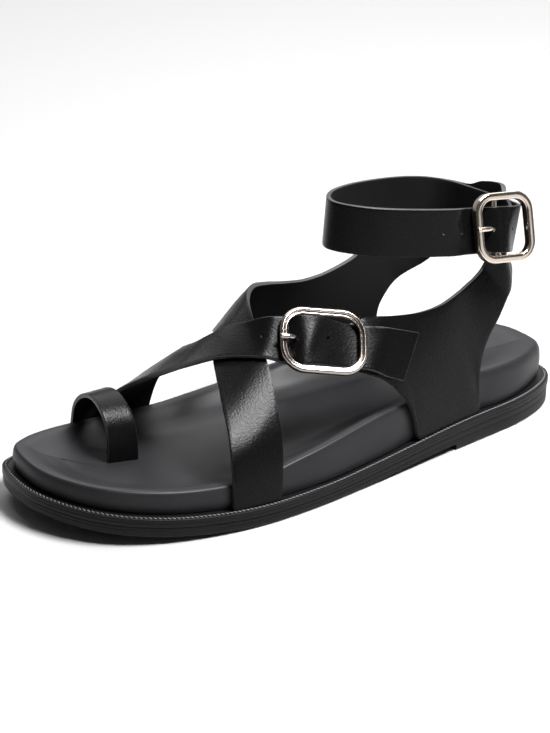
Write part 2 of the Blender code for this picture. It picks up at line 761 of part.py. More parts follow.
def build_upper(parts, cutters, material):
    rungs = [form_rung((front, angle), (rear, angle)) for angle, front, rear in CROSS_ROWS]
    rungs += [quarter_rung(row, -1) for row in MEDIAL_ROWS]
    rungs += [stay_rung(row) for row in STAY_ROWS]
    rungs += [quarter_rung(row, 1) for row in LATERAL_ROWS]
    upper = strap_sheet("upper", rungs, parts, material, STRAP_STEPS)

    rungs = [form_rung((front, angle), (rear, rear_angle), off, 5)
             for front, angle, rear, rear_angle, off in INSTEP_ROWS]
    strap = hide_cutter(strap_sheet("instep_strap", rungs, cutters, material, INSTEP_STEPS))
    seat_vertices(strap, INSTEP_BUCKLE, instep_buckle_place())

    rungs = []
    for y, z, rear, front, skew in LOOP_ROWS:
        height = z if z > ROOT else welt_top(front) + GAP
        rungs.append([(blend(rear, front, k / 4), y - skew * k / 4, height) for k in range(5)])
    loop = hide_cutter(strap_sheet("toe_loop", rungs, cutters, material, STRAP_STEPS))

    for other in (strap, loop):
        add_boolean(upper, other, "UNION")
    add_stay_slot(upper, cutters)
    return upper


def add_stay_slot(upper, cutters):
    """The slot in the back stay that the ankle strap comes out through."""
    half = ANKLE_WIDTH / 2 + 2 * GAP
    steps = 6
    points, faces = [], []
    for i in range(steps + 1):
        angle = blend(STAY_SLOT_FROM, STAY_SLOT_TO, i / steps)
        for out, height in ((-1, -1), (1, -1), (1, 1), (-1, 1)):
            points.append(on_ankle(angle, height * half, out * STAY_SLOT_DEPTH))
    for i in range(steps):
        a, b = 4 * i, 4 * (i + 1)
        faces += [(a + k, b + k, b + (k + 1) % 4, a + (k + 1) % 4) for k in range(4)]
    faces += [(0, 1, 2, 3), tuple(4 * steps + k for k in (3, 2, 1, 0))]
    cutter = hide_cutter(add_object("stay_slot_cutter", points, faces, cutters))
    add_boolean(upper, cutter, "DIFFERENCE")


def build_ankle_strap(parts, material):
    half = ANKLE_WIDTH / 2
    rungs = []
    for i in range(ANKLE_STATIONS):
        angle = -360.0 * i / ANKLE_STATIONS
        rungs.append([on_ankle(angle, blend(-half, half, k / 3), -STRAP / 2) for k in range(4)])
    strap = strap_sheet("ankle_strap", rungs, parts, material, 1, closed=True)
    seat_vertices(strap, ANKLE_BUCKLE, ankle_buckle_place())
    return strap


# ---- buckles -----------------------------------------------------------------------------------------
def rounded_rectangle(length, width, corner):
    points = []
    for quarter, (sx, sy) in enumerate(((1, 1), (-1, 1), (-1, -1), (1, -1))):
        for step in range(CORNER_STEPS + 1):
            turn = math.radians(90.0 * (quarter + step / CORNER_STEPS))
            points.append((sx * (length / 2 - corner) + corner * math.cos(turn),
                           sy * (width / 2 - corner) + corner * math.sin(turn), 0.0))
    return points


def add_spline(curve, points, cyclic):
    spline = curve.splines.new("POLY")
    spline.points.add(len(points) - 1)
    for node, point in zip(spline.points, points):
        node.co = (*(Vector(point) * MM), 1.0)
    spline.use_cyclic_u = cyclic


def curve_to_mesh(curve, name, place, collection, material=None):
    """Make a curve a mesh object with welded caps, set at its buckle's place."""
    source = bpy.data.objects.new(name + "_curve", curve)
    collection.objects.link(source)
    depsgraph = bpy.context.evaluated_depsgraph_get()
    mesh = bpy.data.meshes.new_from_object(source.evaluated_get(depsgraph))
    bpy.data.objects.remove(source)
    weld = bmesh.new()
    weld.from_mesh(mesh)
    bmesh.ops.remove_doubles(weld, verts=weld.verts, dist=1e-6)
    bmesh.ops.recalc_face_normals(weld, faces=weld.faces)
    weld.to_mesh(mesh)
    weld.free()
    mesh.shade_smooth()
    mesh.set_sharp_from_angle(angle=SHARP_ANGLE)
    mesh.materials.clear()
    if material:
        mesh.materials.append(material)
    thing = bpy.data.objects.new(name, mesh)
    collection.objects.link(thing)
    thing.matrix_world = buckle_matrix(place)
    return thing


def buckle_matrix(place):
    rotation, origin = place
    return Matrix.Translation(to_world(origin)) @ rotation


def add_wire(name, points, radius, place, collection, material=None):
    curve = bpy.data.curves.new(name, "CURVE")
    curve.dimensions = "3D"
    curve.bevel_depth = radius * MM
    curve.bevel_resolution = 2
    curve.use_fill_caps = True
    add_spline(curve, points, False)
    return curve_to_mesh(curve, name, place, collection, material)


def frame_curve(name, buckle, room):
    """Flat frame, rounded on its edges; room makes it larger all round."""
    curve = bpy.data.curves.new(name, "CURVE")
    curve.dimensions = "2D"
    curve.fill_mode = "BOTH"
    curve.extrude = (buckle["thick"] / 2 + room - FRAME_ROUND) * MM
    curve.bevel_depth = FRAME_ROUND * MM
    curve.bevel_resolution = 1
    curve.offset = -FRAME_ROUND * MM
    length, width = buckle["length"] + 2 * room, buckle["width"] + 2 * room
    corner, face = buckle["corner"] + room, buckle["face"] + 2 * room
    inner = rounded_rectangle(length - 2 * face, width - 2 * face, corner - face)
    add_spline(curve, rounded_rectangle(length, width, corner), True)
    add_spline(curve, list(reversed(inner)), True)
    return curve


def build_buckle(name, buckle, place, parts, cutters, material, strap):
    """Frame with its hidden middle bar, the prong, and the strap's hole and room for them."""
    bottom = buckle["seat"] + STRAP + SEAT_GAP
    top = bottom + buckle["thick"]
    rotation, origin = place
    raised = rotation, origin + rotation.to_3x3() @ Vector((0.0, 0.0, (bottom + top) / 2))
    curve = frame_curve(name, buckle, 0.0)
    frame = curve_to_mesh(curve, name + "_frame", raised, parts, material)
    curve = frame_curve(name + "_room", buckle, GAP)
    room = curve_to_mesh(curve, name + "_room", raised, cutters)
    add_boolean(strap, hide_cutter(room), "DIFFERENCE")

    bar_x, bar_z = buckle["bar_place"], buckle["bar_height"]
    length, face = buckle["length"], buckle["face"]
    span = buckle["width"] / 2 - face / 2
    bar = add_wire(name + "_bar", [(bar_x, -span, bar_z), (bar_x, span, bar_z)],
                   buckle["bar_radius"], place, cutters)
    add_boolean(frame, hide_cutter(bar), "UNION")

    start = bar_x - buckle["bar_radius"] - GAP - PRONG_RADIUS
    end = -length / 2 + face / 2
    over = top + GAP + PRONG_RADIUS
    route = [(start, 0.0, bar_z), (blend(start, end, 0.35), 0.0, blend(bar_z, over, 0.45)),
             (blend(start, end, 0.8), 0.0, over - 0.1), (end - 2.0, 0.0, over)]
    route = through(route, 3)
    add_wire(name + "_prong", route, PRONG_RADIUS, place, parts, material)
    hole = add_wire(name + "_hole_cutter", route[:8], PRONG_HOLE, place, cutters)
    add_boolean(strap, hide_cutter(hole), "DIFFERENCE")


def main():
    clear_scene()
    parts = make_collection(COLLECTION)
    cutters = make_collection(CUTTERS)
    leather = make_material("smooth_leather", LEATHER, 0.42)
    rubber = make_material("moulded_rubber", RUBBER, 0.62)
    lining = make_material("footbed_leather", LINING, 0.58)
    metal = make_material("plated_buckle", METAL, 0.18, 1.0)
    build_outsole(parts, cutters, rubber)
    build_welt(parts, rubber)
    build_footbed(parts, cutters, lining)
    upper = build_upper(parts, cutters, leather)
    ankle_strap = build_ankle_strap(parts, leather)
    place = instep_buckle_place()
    build_buckle("instep_buckle", INSTEP_BUCKLE, place, parts, cutters, metal, upper)
    place = ankle_buckle_place()
    build_buckle("ankle_buckle", ANKLE_BUCKLE, place, parts, cutters, metal, ankle_strap)


main()
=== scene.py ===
"""Looks of a strap sandal on a platform sole, with a toe loop and an ankle strap. Left shoe.

The shapes are worked out in millimetres, with x from heel to toe, y to the wearer's left (the
small-toe side) and z up from the floor. to_frame lays them in the frame, which is in metres and
centred on the sole.
"""

import math

import bmesh
import bpy
from mathutils import Matrix, Vector


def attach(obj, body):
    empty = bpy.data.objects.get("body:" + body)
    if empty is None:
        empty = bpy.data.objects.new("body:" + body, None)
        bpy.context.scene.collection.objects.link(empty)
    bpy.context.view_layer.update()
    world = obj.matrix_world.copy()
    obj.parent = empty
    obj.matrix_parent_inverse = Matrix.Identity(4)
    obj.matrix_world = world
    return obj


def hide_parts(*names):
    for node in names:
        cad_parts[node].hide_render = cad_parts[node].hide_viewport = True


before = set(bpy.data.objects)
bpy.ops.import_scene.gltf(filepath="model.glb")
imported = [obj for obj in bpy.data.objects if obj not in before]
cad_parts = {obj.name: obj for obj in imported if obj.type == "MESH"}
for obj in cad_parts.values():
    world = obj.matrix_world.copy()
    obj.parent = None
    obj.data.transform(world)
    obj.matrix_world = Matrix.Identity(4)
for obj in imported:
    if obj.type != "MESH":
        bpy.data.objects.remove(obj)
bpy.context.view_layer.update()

bl_info = {
    "name": "Strap sandal",
    "version": (1, 0, 0),
    "blender": (4, 5, 0),
    "location": "View3D > Sidebar > Sandal",
    "description": "Leather straps, footbed, welted sole and plated buckles of a strap sandal",
    "category": "Object",
}

MM = 0.001
GAP = 0.3                    # clearance between two pieces that meet
COLLECTION = "strap_sandal_looks"

# ---- sole --------------------------------------------------------------------
HEEL_TIP = (1.0, 1.0)
TOE_TIP = (262.2, -10.5)
SOLE_ROWS = (                # station, lateral edge, medial edge
    (3.0, 14.3, -11.0),
    (13.0, 23.8, -25.5),
    (33.0, 31.0, -33.0),
    (62.0, 35.0, -33.0),
    (94.0, 39.1, -30.8),
    (124.0, 42.7, -32.3),
    (154.0, 46.2, -39.0),
    (182.0, 47.1, -46.0),
    (206.0, 44.2, -48.8),
    (228.0, 37.5, -47.8),
    (246.0, 26.0, -43.3),
    (257.5, 9.5, -34.0),
)
OUTLINE_STEPS = 12           # points between two rows of the outline

HEEL_HEIGHT = 12.0           # floor to the top of the welt at the heel
BALL_HEIGHT = 8.2            # the same at the ball
HEEL_END = 74.0              # breast of the low heel
WAIST_LEAD = 14.0            # the sole thins from this far behind the breast
BREAST_STEP = 3.0            # how far the waist stands off the floor at the breast
BALL_START = 150.0           # where the waist meets the floor
WAIST_STEPS = 16
WAIST_SIDES = (-60.0, -20.0, 20.0, 60.0)     # the waist's cutter across the sole
WAIST_DEPTH = 20.0           # how far that cutter reaches down
TREAD_FACING = -0.8          # faces that point down more than this are tread
SPRING_START = 172.0         # where the toe leaves the floor
SPRING_LENGTH = 90.0
TOE_SPRING = 6.9
SPRING_POWER = 1.7
WELT_THICKNESS = 3.6
WELT_JOINT = 0.06            # glue line between welt and outsole
SPINE_HEEL = 32.0            # the middle line of sole and footbed runs between these stations
SPINE_TOE = 226.0
SPINE_STEPS = 6

OUTSOLE_PROFILE = (          # inset, height over the tread, share of the side's height
    (9.0, 0.0, 0.0),
    (1.6, 0.0, 0.0),
    (1.1, 0.1, 0.0),
    (0.6, 0.5, 0.0),
    (0.42, 1.2, 0.0),
    (0.36, 0.0, 0.45),
    (0.34, 0.0, 0.63),
    (0.44, 0.0, 0.66),
    (0.34, 0.0, 0.69),
    (0.30, 0.0, 0.94),
    (0.42, 0.0, 1.0),
    (3.0, 0.0, 1.0),
)
WELT_PROFILE = (             # inset, share of the welt's thickness
    (3.0, 0.0),
    (0.36, 0.0),
    (0.08, 0.08),
    (0.0, 0.3),
    (0.0, 0.47),
    (0.10, 0.53),
    (0.0, 0.59),
    (0.0, 0.80),
    (0.16, 0.93),
    (0.62, 1.0),
    (0.86, 1.0),
    (1.05, 0.9),
    (1.55, 0.84),
    (2.05, 0.9),
    (2.25, 1.0),
    (7.0, 1.0),
)
ROPE_INSET = 1.55            # middle of the rope stitch, in from the welt's edge
ROPE_TWIST = 28.0            # slant of a twist, in degrees
ROPE_SIZE = (2.2, 0.86, 0.8)     # length, width and height of a twist
ROPE_SINK = 0.02             # its middle lies this far below the welt's top

# ---- footbed -----------------------------------------------------------------
RIM_INSET = 4.6              # footbed wall, in from the welt's edge
RING_EASING = 0.8            # rounds of easing per millimetre that a ring lies in
RIM_BULGES = (               # station, how far the wall stands out where no strap passes it
    (14.0, 0.0),
    (30.0, 1.2),
    (46.0, 1.3),
    (58.0, 0.0),
    (99.0, 0.0),
    (112.0, 0.9),
    (150.0, 0.9),
    (170.0, 0.1),
    (180.0, 0.0),
)
RIM_ROWS = (                 # station, rim above the welt, depth of the dish below the rim
    (8.0, 14.6, 7.0),
    (20.0, 15.6, 7.4),
    (40.0, 16.9, 7.9),
    (60.0, 17.5, 8.0),
    (101.0, 18.4, 8.2),
    (120.0, 18.8, 8.2),
    (141.0, 17.2, 7.3),
    (163.0, 14.2, 6.2),
    (180.0, 11.5, 5.1),
    (202.0, 10.0, 4.6),
    (240.0, 9.3, 4.3),
    (258.0, 8.6, 4.1),
)
HEEL_ROUND = 1.1             # how much wider the rim rounds over at the heel
HEEL_ROUND_START = 15.0      # fading out from this station over this length
HEEL_ROUND_LENGTH = 60.0
ARCH_RISE = 2.6              # of the medial rim over the arch of the foot
ARCH_STATION = 115.0
ARCH_SPREAD = 30.0
ARCH_POWER = 1.4             # how the arch gathers towards the medial rim
FOOTBED_PROFILE = (          # inset from the footbed wall, share of rim height, share of dish
    (6.0, 0.00, 0.0),
    (0.8, 0.00, 0.0),
    (0.15, 0.06, 0.0),
    (-0.15, 0.22, 0.0),
    (-0.3, 0.45, 0.0),
    (-0.15, 0.68, 0.0),
    (0.15, 0.84, 0.0),
    (0.6, 0.94, 0.0),
    (1.3, 0.99, 0.0),
    (2.4, 1.00, 0.0),
    (3.8, 1.00, 0.02),
    (5.6, 1.00, 0.12),
    (8.4, 1.00, 0.40),
    (12.0, 1.00, 0.72),
    (16.5, 1.00, 0.94),
)
PROFILE_STEPS = 3            # points between two rows of a profile
DISH_STEPS = 10              # rings between the profile's end and the middle of the dish
MIDDLE_ENDS = (20.0, 240.0)  # the middle line is level with its ends past these stations

# ---- the foot form that the straps lie on ------------------------------------
STRAP = 2.0                  # thickness of the leather
ACROSS = 16                  # mesh steps across a strap
SHARES = [k / ACROSS for k in range(ACROSS + 1)]
ALONG = 6                    # mesh steps between two rows of a strap's table
FORM_ROWS = (                # station, crest height, crest y, lateral power, medial power
    (30.0, 116.0, -3.0, 1.45, 5.0),
    (60.0, 116.0, -4.0, 1.5, 5.0),
    (80.0, 112.0, -4.0, 1.75, 4.2),
    (95.0, 105.0, -4.0, 1.8, 3.4),
    (110.0, 95.5, -4.0, 1.8, 2.9),
    (125.0, 86.0, -5.0, 1.8, 2.6),
    (142.0, 76.5, -5.0, 1.75, 2.39),
    (160.0, 65.1, -5.0, 1.75, 1.62),
    (182.0, 53.1, -2.0, 1.8, 1.75),
    (197.0, 47.7, -7.3, 1.9, 1.34),
    (212.0, 41.5, -9.9, 2.0, 1.2),
)
FORM_SLOPE = 0.45            # fall of the form's crest towards the toe
FORM_RIM_HEEL = 15.4         # the form leaves the wall near this height above the welt
FORM_RIM_BALL = 10.9
FORM_RIM_START = 25.0        # falling from the one to the other from this station
FORM_RIM_LENGTH = 130.0
FORM_ARCH = 7.0
FORM_ARCH_SPREAD = 42.0
WALL_ANGLE = 30.0            # strap angles below 0 and over 180 degrees run down the footbed
WALL_INSET = 3.8             # inner face of a strap beside the footbed, in from the welt's edge
WALL_SHARE = 0.9             # share of that height that the straps follow straight up

# Cross strap, from the lateral sole over the instep: angle round the form, front, rear edge.
CROSS_ROWS = (
    (-30.0, 197.8, 175.6),
    (-2.0, 198.0, 175.2),
    (20.0, 196.8, 173.2),
    (38.0, 193.0, 169.6),
    (60.0, 187.2, 163.2),
    (84.0, 178.2, 156.0),
    (104.0, 168.0, 149.6),
)
# Quarters: station and height of the lower edge, station and height of the top edge.
ROOT = 0.0                   # a lower height of 0 stands for the top of the welt
MEDIAL_ROWS = (
    (157.0, 52.0, 141.4, 70.9),
    (144.0, 47.0, 131.2, 68.8),
    (130.0, 41.0, 121.5, 66.7),
    (116.0, 33.0, 111.0, 65.0),
    (104.0, 22.0, 102.0, 65.0),
    (97.0, ROOT, 95.0, 65.8),
    (82.0, ROOT, 88.0, 67.1),
    (66.5, ROOT, 82.5, 68.4),
    (66.2, 37.0, 78.8, 70.0),
    (62.5, 46.0, 76.5, 72.5),
    (54.5, 52.8, 74.5, 75.5),
)
LATERAL_ROWS = (
    (39.8, 58.5, 50.5, 74.3),
    (46.1, 51.6, 56.0, 71.2),
    (52.5, 45.8, 62.5, 69.1),
    (57.5, 39.0, 68.0, 67.8),
    (60.0, 30.0, 74.0, 66.7),
    (59.8, ROOT, 80.5, 65.7),
    (70.0, ROOT, 88.0, 65.3),
    (82.0, ROOT, 95.5, 65.5),
    (95.5, ROOT, 104.0, 66.3),
    (99.9, 22.5, 111.0, 67.1),
    (105.0, 32.3, 117.0, 67.8),
    (115.0, 42.3, 123.0, 67.0),
    (126.0, 47.8, 129.0, 66.0),
    (137.0, 52.0, 134.5, 65.5),
    (144.5, 54.0, 140.0, 65.5),
)
# Back stay: angle round the ankle and height from the ankle strap's middle line for its lower
# and top edge, then how far each edge's inner face lies out from the middle of that strap.
OUTSIDE = 1.5
INSIDE = -3.6
STAY_ROWS = (
    (231.0, -29.5, 277.0, -10.0, OUTSIDE, OUTSIDE),
    (222.0, -26.0, 268.0, 2.0, OUTSIDE, OUTSIDE),
    (212.0, -21.5, 256.0, 8.0, OUTSIDE, OUTSIDE),
    (200.0, -17.5, 238.0, 9.2, OUTSIDE, OUTSIDE),
    (190.0, -15.5, 214.0, 9.5, OUTSIDE, OUTSIDE),
    (180.0, -15.0, 192.0, 10.2, OUTSIDE, OUTSIDE),
    (172.0, -15.0, 178.0, 13.2, OUTSIDE, OUTSIDE),
    (162.0, -15.0, 164.0, 14.5, OUTSIDE, OUTSIDE),
    (155.0, -15.0, 155.0, 14.5, OUTSIDE, OUTSIDE),
    (142.0, -16.0, 141.0, 13.5, 1.5, INSIDE),
    (134.0, -18.5, 130.0, 9.5, 2.0, INSIDE),
    (130.0, -22.5, 116.0, 4.0, 1.0, INSIDE),
    (126.0, -27.5, 105.0, -6.0, 0.0, INSIDE),
)
# Instep strap, from its tail to the medial sole: front edge station and angle, rear edge
# station and angle, and how far the front and rear edge's inner face lies off the form.
INSTEP_ROWS = (
    (109.0, 18.0, 97.0, 28.5, 4.2, 3.4),
    (117.5, 23.0, 107.5, 34.5, 3.6, 3.0),
    (126.5, 29.0, 119.0, 42.0, 2.6, 2.4),
    (135.5, 35.0, 128.5, 49.0, 2.1, 2.1),
    (145.0, 41.4, 137.5, 57.6, 2.1, 2.1),
    (153.5, 47.5, 146.5, 66.1, 2.3, 2.1),
    (163.5, 59.4, 154.0, 74.2, 2.7, 2.1),
    (176.0, 76.1, 163.5, 87.0, 2.8, 2.1),
    (188.0, 87.6, 170.5, 100.8, 2.3, 1.9),
    (196.0, 94.7, 174.5, 109.7, 1.2, 1.2),
    (200.5, 110.3, 175.0, 126.0, 0.7, 0.7),
    (202.5, 133.2, 175.5, 145.3, 0.3, 0.3),
    (203.5, 157.8, 177.5, 158.4, 0.0, 0.0),
    (204.0, 182.0, 179.0, 183.0, 0.0, 0.0),
    (204.5, 210.0, 179.5, 210.0, 0.0, 0.0),
)
# Toe loop, from the medial sole over the big toe to the footbed's slot: y, z, rear and
# front station, and how far the front edge lies more to the medial side. A height of 0 stands
# for the top of the welt.
LOOP_END = 11.2
LOOP_STEPS = 8               # mesh steps between two rows
LOOP_ACROSS = 10             # and across
LOOP_ROWS = (
    (-45.0, ROOT, 203.3, 216.2, 0.0),
    (-44.4, 18.4, 203.3, 216.0, 0.0),
    (-42.2, 27.0, 204.0, 216.4, 0.0),
    (-36.5, 33.2, 205.3, 217.2, 0.0),
    (-27.5, 36.6, 206.6, 218.8, 0.0),
    (-18.8, 35.0, 207.6, 220.4, 0.5),
    (-12.0, 29.0, 208.3, 221.4, 1.3),
    (-9.0, 19.5, 208.7, 222.2, 2.0),
    (-9.0, LOOP_END, 208.9, 222.8, 2.2),
)

# ---- ankle strap -------------------------------------------------------------
ANKLE_ROWS = (               # plan of its middle line, a row for each 30 degrees from the front
    (119.5, 3.0),
    (108.2, 15.1),
    (84.0, 22.0),
    (56.3, 24.6),
    (36.6, 23.2),
    (35.0, 9.5),
    (35.5, -5.0),
    (38.0, -19.5),
    (46.0, -27.5),
    (63.0, -28.5),
    (89.0, -22.5),
    (110.0, -11.5),
)
ANKLE_CENTRE = (68.7, -2.0, 93.0)
ANKLE_PITCH = 0.16           # rise towards the front
ANKLE_ROLL = 0.05            # rise towards the lateral side
ANKLE_FLARE = 0.04           # how far the top leans out, per unit of height
ANKLE_WIDTH = 20.6
ANKLE_STATIONS = 240         # mesh steps round the ankle strap
ANKLE_ACROSS = 12            # and across it
ANKLE_STEPS = 20             # points between two rows of its plan
ANKLE_LOOK = 3.0             # its direction is taken over this many degrees either way
STAY_TURN = 2.0              # the stay is at its top edge's depth this far below the strap
STAY_SLOT = (139.5, 156.0)   # the strap comes out through the stay between these angles
STAY_SLOT_DEPTH = 5.0
STAY_SLOT_STEPS = 12

# ---- buckles -----------------------------------------------------------------
# Length along the strap, width across it, width of the frame's face, corner radius, thickness;
# the middle bar's place along the strap, its height over the form and its radius; height of the
# strap's inner face under the end bars (seat) and over the middle bar (lift); and whether the
# strap keeps its own line on the tail's side (open_end); the frame's shift along and across the
# strap, and its turn, lean and tilt in degrees: about its width, its length and its face.
INSTEP_BUCKLE = {
    "length": 37.2, "width": 28.0, "face": 3.2, "corner": 10.5, "thick": 3.0,
    "bar_place": -8.6, "bar_height": 1.7, "bar_radius": 1.1, "seat": -0.4, "lift": 3.2,
    "open_end": False, "shift": (-2.1, 0.1), "turn": 3.2, "lean": 0.0, "tilt": 0.0,
}
ANKLE_BUCKLE = {
    "length": 28.9, "width": 29.6, "face": 3.3, "corner": 8.5, "thick": 4.0,
    "bar_place": -2.0, "bar_height": 2.8, "bar_radius": 1.2, "seat": 1.2, "lift": 4.5,
    "open_end": True, "shift": (3.5, 0.7), "turn": -8.0, "lean": -19.0, "tilt": 5.0,
}
INSTEP_BUCKLE_SEAT = (138.5, 47.0)   # station and angle on the form
INSTEP_BUCKLE_ROWS = (2, 4, 6)       # rows at its tail end, middle and head end
ANKLE_BUCKLE_ANGLE = 97.0            # angle round the ankle strap
ANKLE_BUCKLE_REACH = (7.0, 5.0)      # degrees along and height across that it lies flat on
PRONG_RADIUS = 1.1
PRONG_ROUTE = (              # share of the way to the end bar, and of the rise over it
    (0.0, 0.0),
    (0.2, 0.35),
    (0.42, 0.85),
    (0.75, 1.0),
)
PRONG_TIP = ((1.0, 0.05), (2.4, 0.25))   # past the end bar, and down
PRONG_STEPS = 4
PRONG_POINT = 0.09           # share of the prong that its domed end takes up
PRONG_BLUNT = 0.02           # keeps that end from closing to a point
ROD_SIDES = 16
SEAT_GAP = 0.6               # clearance between a strap and the buckle's end bars
HUMP_END = 3.0               # the rise over the bar ends this far before the end bars
SEAT_FLAT = 2.4              # a strap stays flat this far past a buckle's end bars
SEAT_RELEASE = 9.0           # then comes back to its own line over this length
# Sections of the frames: in from the outer edge, up from the underside.
INSTEP_SECTION = (
    (0.55, 0.0), (0.12, 0.3), (0.0, 0.9), (0.02, 1.7), (0.2, 2.3), (0.6, 2.8), (1.1, 3.0),
    (1.55, 2.85), (1.9, 2.4), (2.06, 2.05), (2.2, 2.02), (2.4, 2.2), (2.7, 2.28), (3.0, 2.1),
    (3.18, 1.7), (3.2, 1.0), (3.08, 0.3), (2.65, 0.0),
)
ANKLE_SECTION = (
    (0.5, 0.0), (0.12, 0.2), (0.0, 0.6), (0.0, 3.2), (0.12, 3.65), (0.42, 3.92), (0.85, 4.0),
    (2.45, 4.0), (2.88, 3.92), (3.18, 3.65), (3.3, 3.2), (3.3, 0.6), (3.18, 0.2), (2.8, 0.0),
)
CORNER_STEPS = 14

# Places of the holes: along the strap from the prong's root, and to the rear of its middle line.
INSTEP_HOLES = ((15.6, 0.2), (1.7, 1.0), (-11.5, 1.6))
ANKLE_HOLES = ((26.2, 0.0), (17.0, 0.0), (0.0, 0.0), (-11.0, 0.0))
# Creases: from and to, as shares of the strap's length and width, height and width.
INSTEP_CREASES = (
    ((0.345, 0.15), (0.290, 0.95), 0.55, 2.6),
    ((0.372, 0.20), (0.318, 1.00), -0.35, 2.2),
    ((0.425, 0.05), (0.440, 0.85), 0.30, 2.4),
    ((0.455, 0.10), (0.470, 0.90), -0.25, 2.0),
    ((0.500, 0.30), (0.520, 1.00), 0.22, 2.4),
)
CREASE_ENDS = 0.1            # a crease starts and ends at this share of a half wave
BAND_CREASES = (
    ((0.046, 0.10), (0.070, 0.95), 0.22, 3.2),
    ((0.086, 0.05), (0.104, 0.90), -0.20, 3.0),
    ((0.118, 0.15), (0.130, 0.95), 0.18, 3.0),
)


# ---- curves and tables -------------------------------------------------------
def blend(a, b, t):
    return a + (b - a) * t


def clamp(value, low, high):
    return min(max(value, low), high)


def ease(t):
    t = clamp(t, 0.0, 1.0)
    return t * t * (3.0 - 2.0 * t)


def bell(distance, spread):
    return math.exp(-(distance / spread) ** 2)


def hermite(p0, p1, p2, p3, t):
    """Point between p1 and p2 on the smooth curve that also runs through p0 and p3."""
    return tuple(
        0.5 * (2 * b + (c - a) * t + (2 * a - 5 * b + 4 * c - d) * t * t
               + (3 * b - a - 3 * c + d) * t ** 3)
        for a, b, c, d in zip(p0, p1, p2, p3))


def through(points, steps, closed=False):
    """Smooth curve through points, with a number of steps between each two of them."""
    count = len(points)
    spans = count if closed else count - 1
    curve = []
    for i in range(spans):
        if closed:
            near = [points[(i + k) % count] for k in (-1, 0, 1, 2)]
        else:
            near = [points[clamp(i + k, 0, count - 1)] for k in (-1, 0, 1, 2)]
        curve += [hermite(*near, s / steps) for s in range(steps)]
    if not closed:
        curve.append(tuple(points[-1]))
    return curve


def read_table(rows, place):
    """Smooth values of a table's other columns where its first column equals place."""
    last = len(rows) - 1
    if place <= rows[0][0]:
        return rows[0][1:]
    if place >= rows[last][0]:
        return rows[last][1:]
    i = max(k for k in range(last) if rows[k][0] <= place)
    span = rows[i + 1][0] - rows[i][0]
    t = (place - rows[i][0]) / span
    values = []
    for column in range(1, len(rows[0])):
        def slope(k):
            low, high = max(k - 1, 0), min(k + 1, last)
            return (rows[high][column] - rows[low][column]) / (rows[high][0] - rows[low][0])
        a, b = rows[i][column], rows[i + 1][column]
        rise_a, rise_b = slope(i) * span, slope(i + 1) * span
        values.append(a + rise_a * t + (3 * (b - a) - 2 * rise_a - rise_b) * t * t
                      + (2 * (a - b) + rise_a + rise_b) * t ** 3)
    return tuple(values)


# ---- sole shape --------------------------------------------------------------
def sole_outline():
    """Closed outline, heel tip first, then the lateral side to the toe and the medial back."""
    lateral = [(x, left) for x, left, _ in SOLE_ROWS]
    medial = [(x, right) for x, _, right in reversed(SOLE_ROWS)]
    return through([HEEL_TIP] + lateral + [TOE_TIP] + medial, OUTLINE_STEPS, closed=True)


OUTLINE = sole_outline()
HALF = len(OUTLINE) // 2
CENTRE_X = (min(x for x, _ in OUTLINE) + max(x for x, _ in OUTLINE)) / 2
CENTRE_Y = (min(y for _, y in OUTLINE) + max(y for _, y in OUTLINE)) / 2


def inset_outline(distance, change=None):
    """The outline moved inwards along its normals; change(x) adds to the distance."""
    moved = []
    count = len(OUTLINE)
    for i, (x, y) in enumerate(OUTLINE):
        ahead, behind = OUTLINE[(i + 1) % count], OUTLINE[i - 1]
        along = Vector((ahead[0] - behind[0], ahead[1] - behind[1])).normalized()
        reach = distance + (change(x) if change else 0.0)
        moved.append((x + along.y * reach, y - along.x * reach))
    return moved


def edge_y(x, side, inset=0.0):
    """The sole's edge at a station, on the lateral side (1) or the medial side (-1)."""
    points = inset_outline(inset)
    points = points[:HALF + 1] if side > 0 else [points[0]] + points[:HALF - 1:-1]
    for (xa, ya), (xb, yb) in zip(points, points[1:]):
        if xa <= x <= xb:
            return blend(ya, yb, (x - xa) / (xb - xa))
    return points[-1][1]


WALL_Y = {
    side: [(x, edge_y(x, side, WALL_INSET)) for x in range(20, 241, 5)]
    for side in (1, -1)
}


def toe_spring(x):
    return TOE_SPRING * max((x - SPRING_START) / SPRING_LENGTH, 0.0) ** SPRING_POWER


def welt_top(x):
    waist = ease((x - HEEL_END + WAIST_LEAD) / (BALL_START - HEEL_END + WAIST_LEAD))
    return blend(HEEL_HEIGHT, BALL_HEIGHT, waist) + toe_spring(x)


def on_welt(x):
    """Height at which footbed and straps stand on the welt."""
    return welt_top(x) + GAP


def rim_height(x):
    return read_table(RIM_ROWS, x)[0]


def dish_depth(x):
    return read_table(RIM_ROWS, x)[1]


def rim_ring(inset):
    """Ring of the footbed's wall or rim, rounder at the heel and eased the further in it lies,
    so that the tight corners of the toe don't fold over."""
    def change(x):
        heel = 1.0 - ease((x - HEEL_ROUND_START) / HEEL_ROUND_LENGTH)
        return max(inset, 0.0) * HEEL_ROUND * heel - read_table(RIM_BULGES, x)[0]
    ring = inset_outline(RIM_INSET + inset, change)
    for _ in range(int(RING_EASING * inset)):
        ring = [((xa + 2 * x + xb) / 4, (ya + 2 * y + yb) / 4) for (xa, ya), (x, y), (xb, yb)
                in zip([ring[-1]] + ring[:-1], ring, ring[1:] + [ring[0]])]
    return ring


def middle_y(x):
    x = clamp(x, *MIDDLE_ENDS)
    return (read_table(WALL_Y[1], x)[0] + read_table(WALL_Y[-1], x)[0]) / 2


def arch_rise(x):
    return ARCH_RISE * bell(x - ARCH_STATION, ARCH_SPREAD)


def arch(x, y):
    """Rise of the footbed's medial side over the arch of the foot."""
    station = clamp(x, *MIDDLE_ENDS)
    reach = middle_y(station) - read_table(WALL_Y[-1], station)[0]
    share = clamp((middle_y(station) - y) / reach, 0.0, 1.0)
    return arch_rise(x) * share ** ARCH_POWER


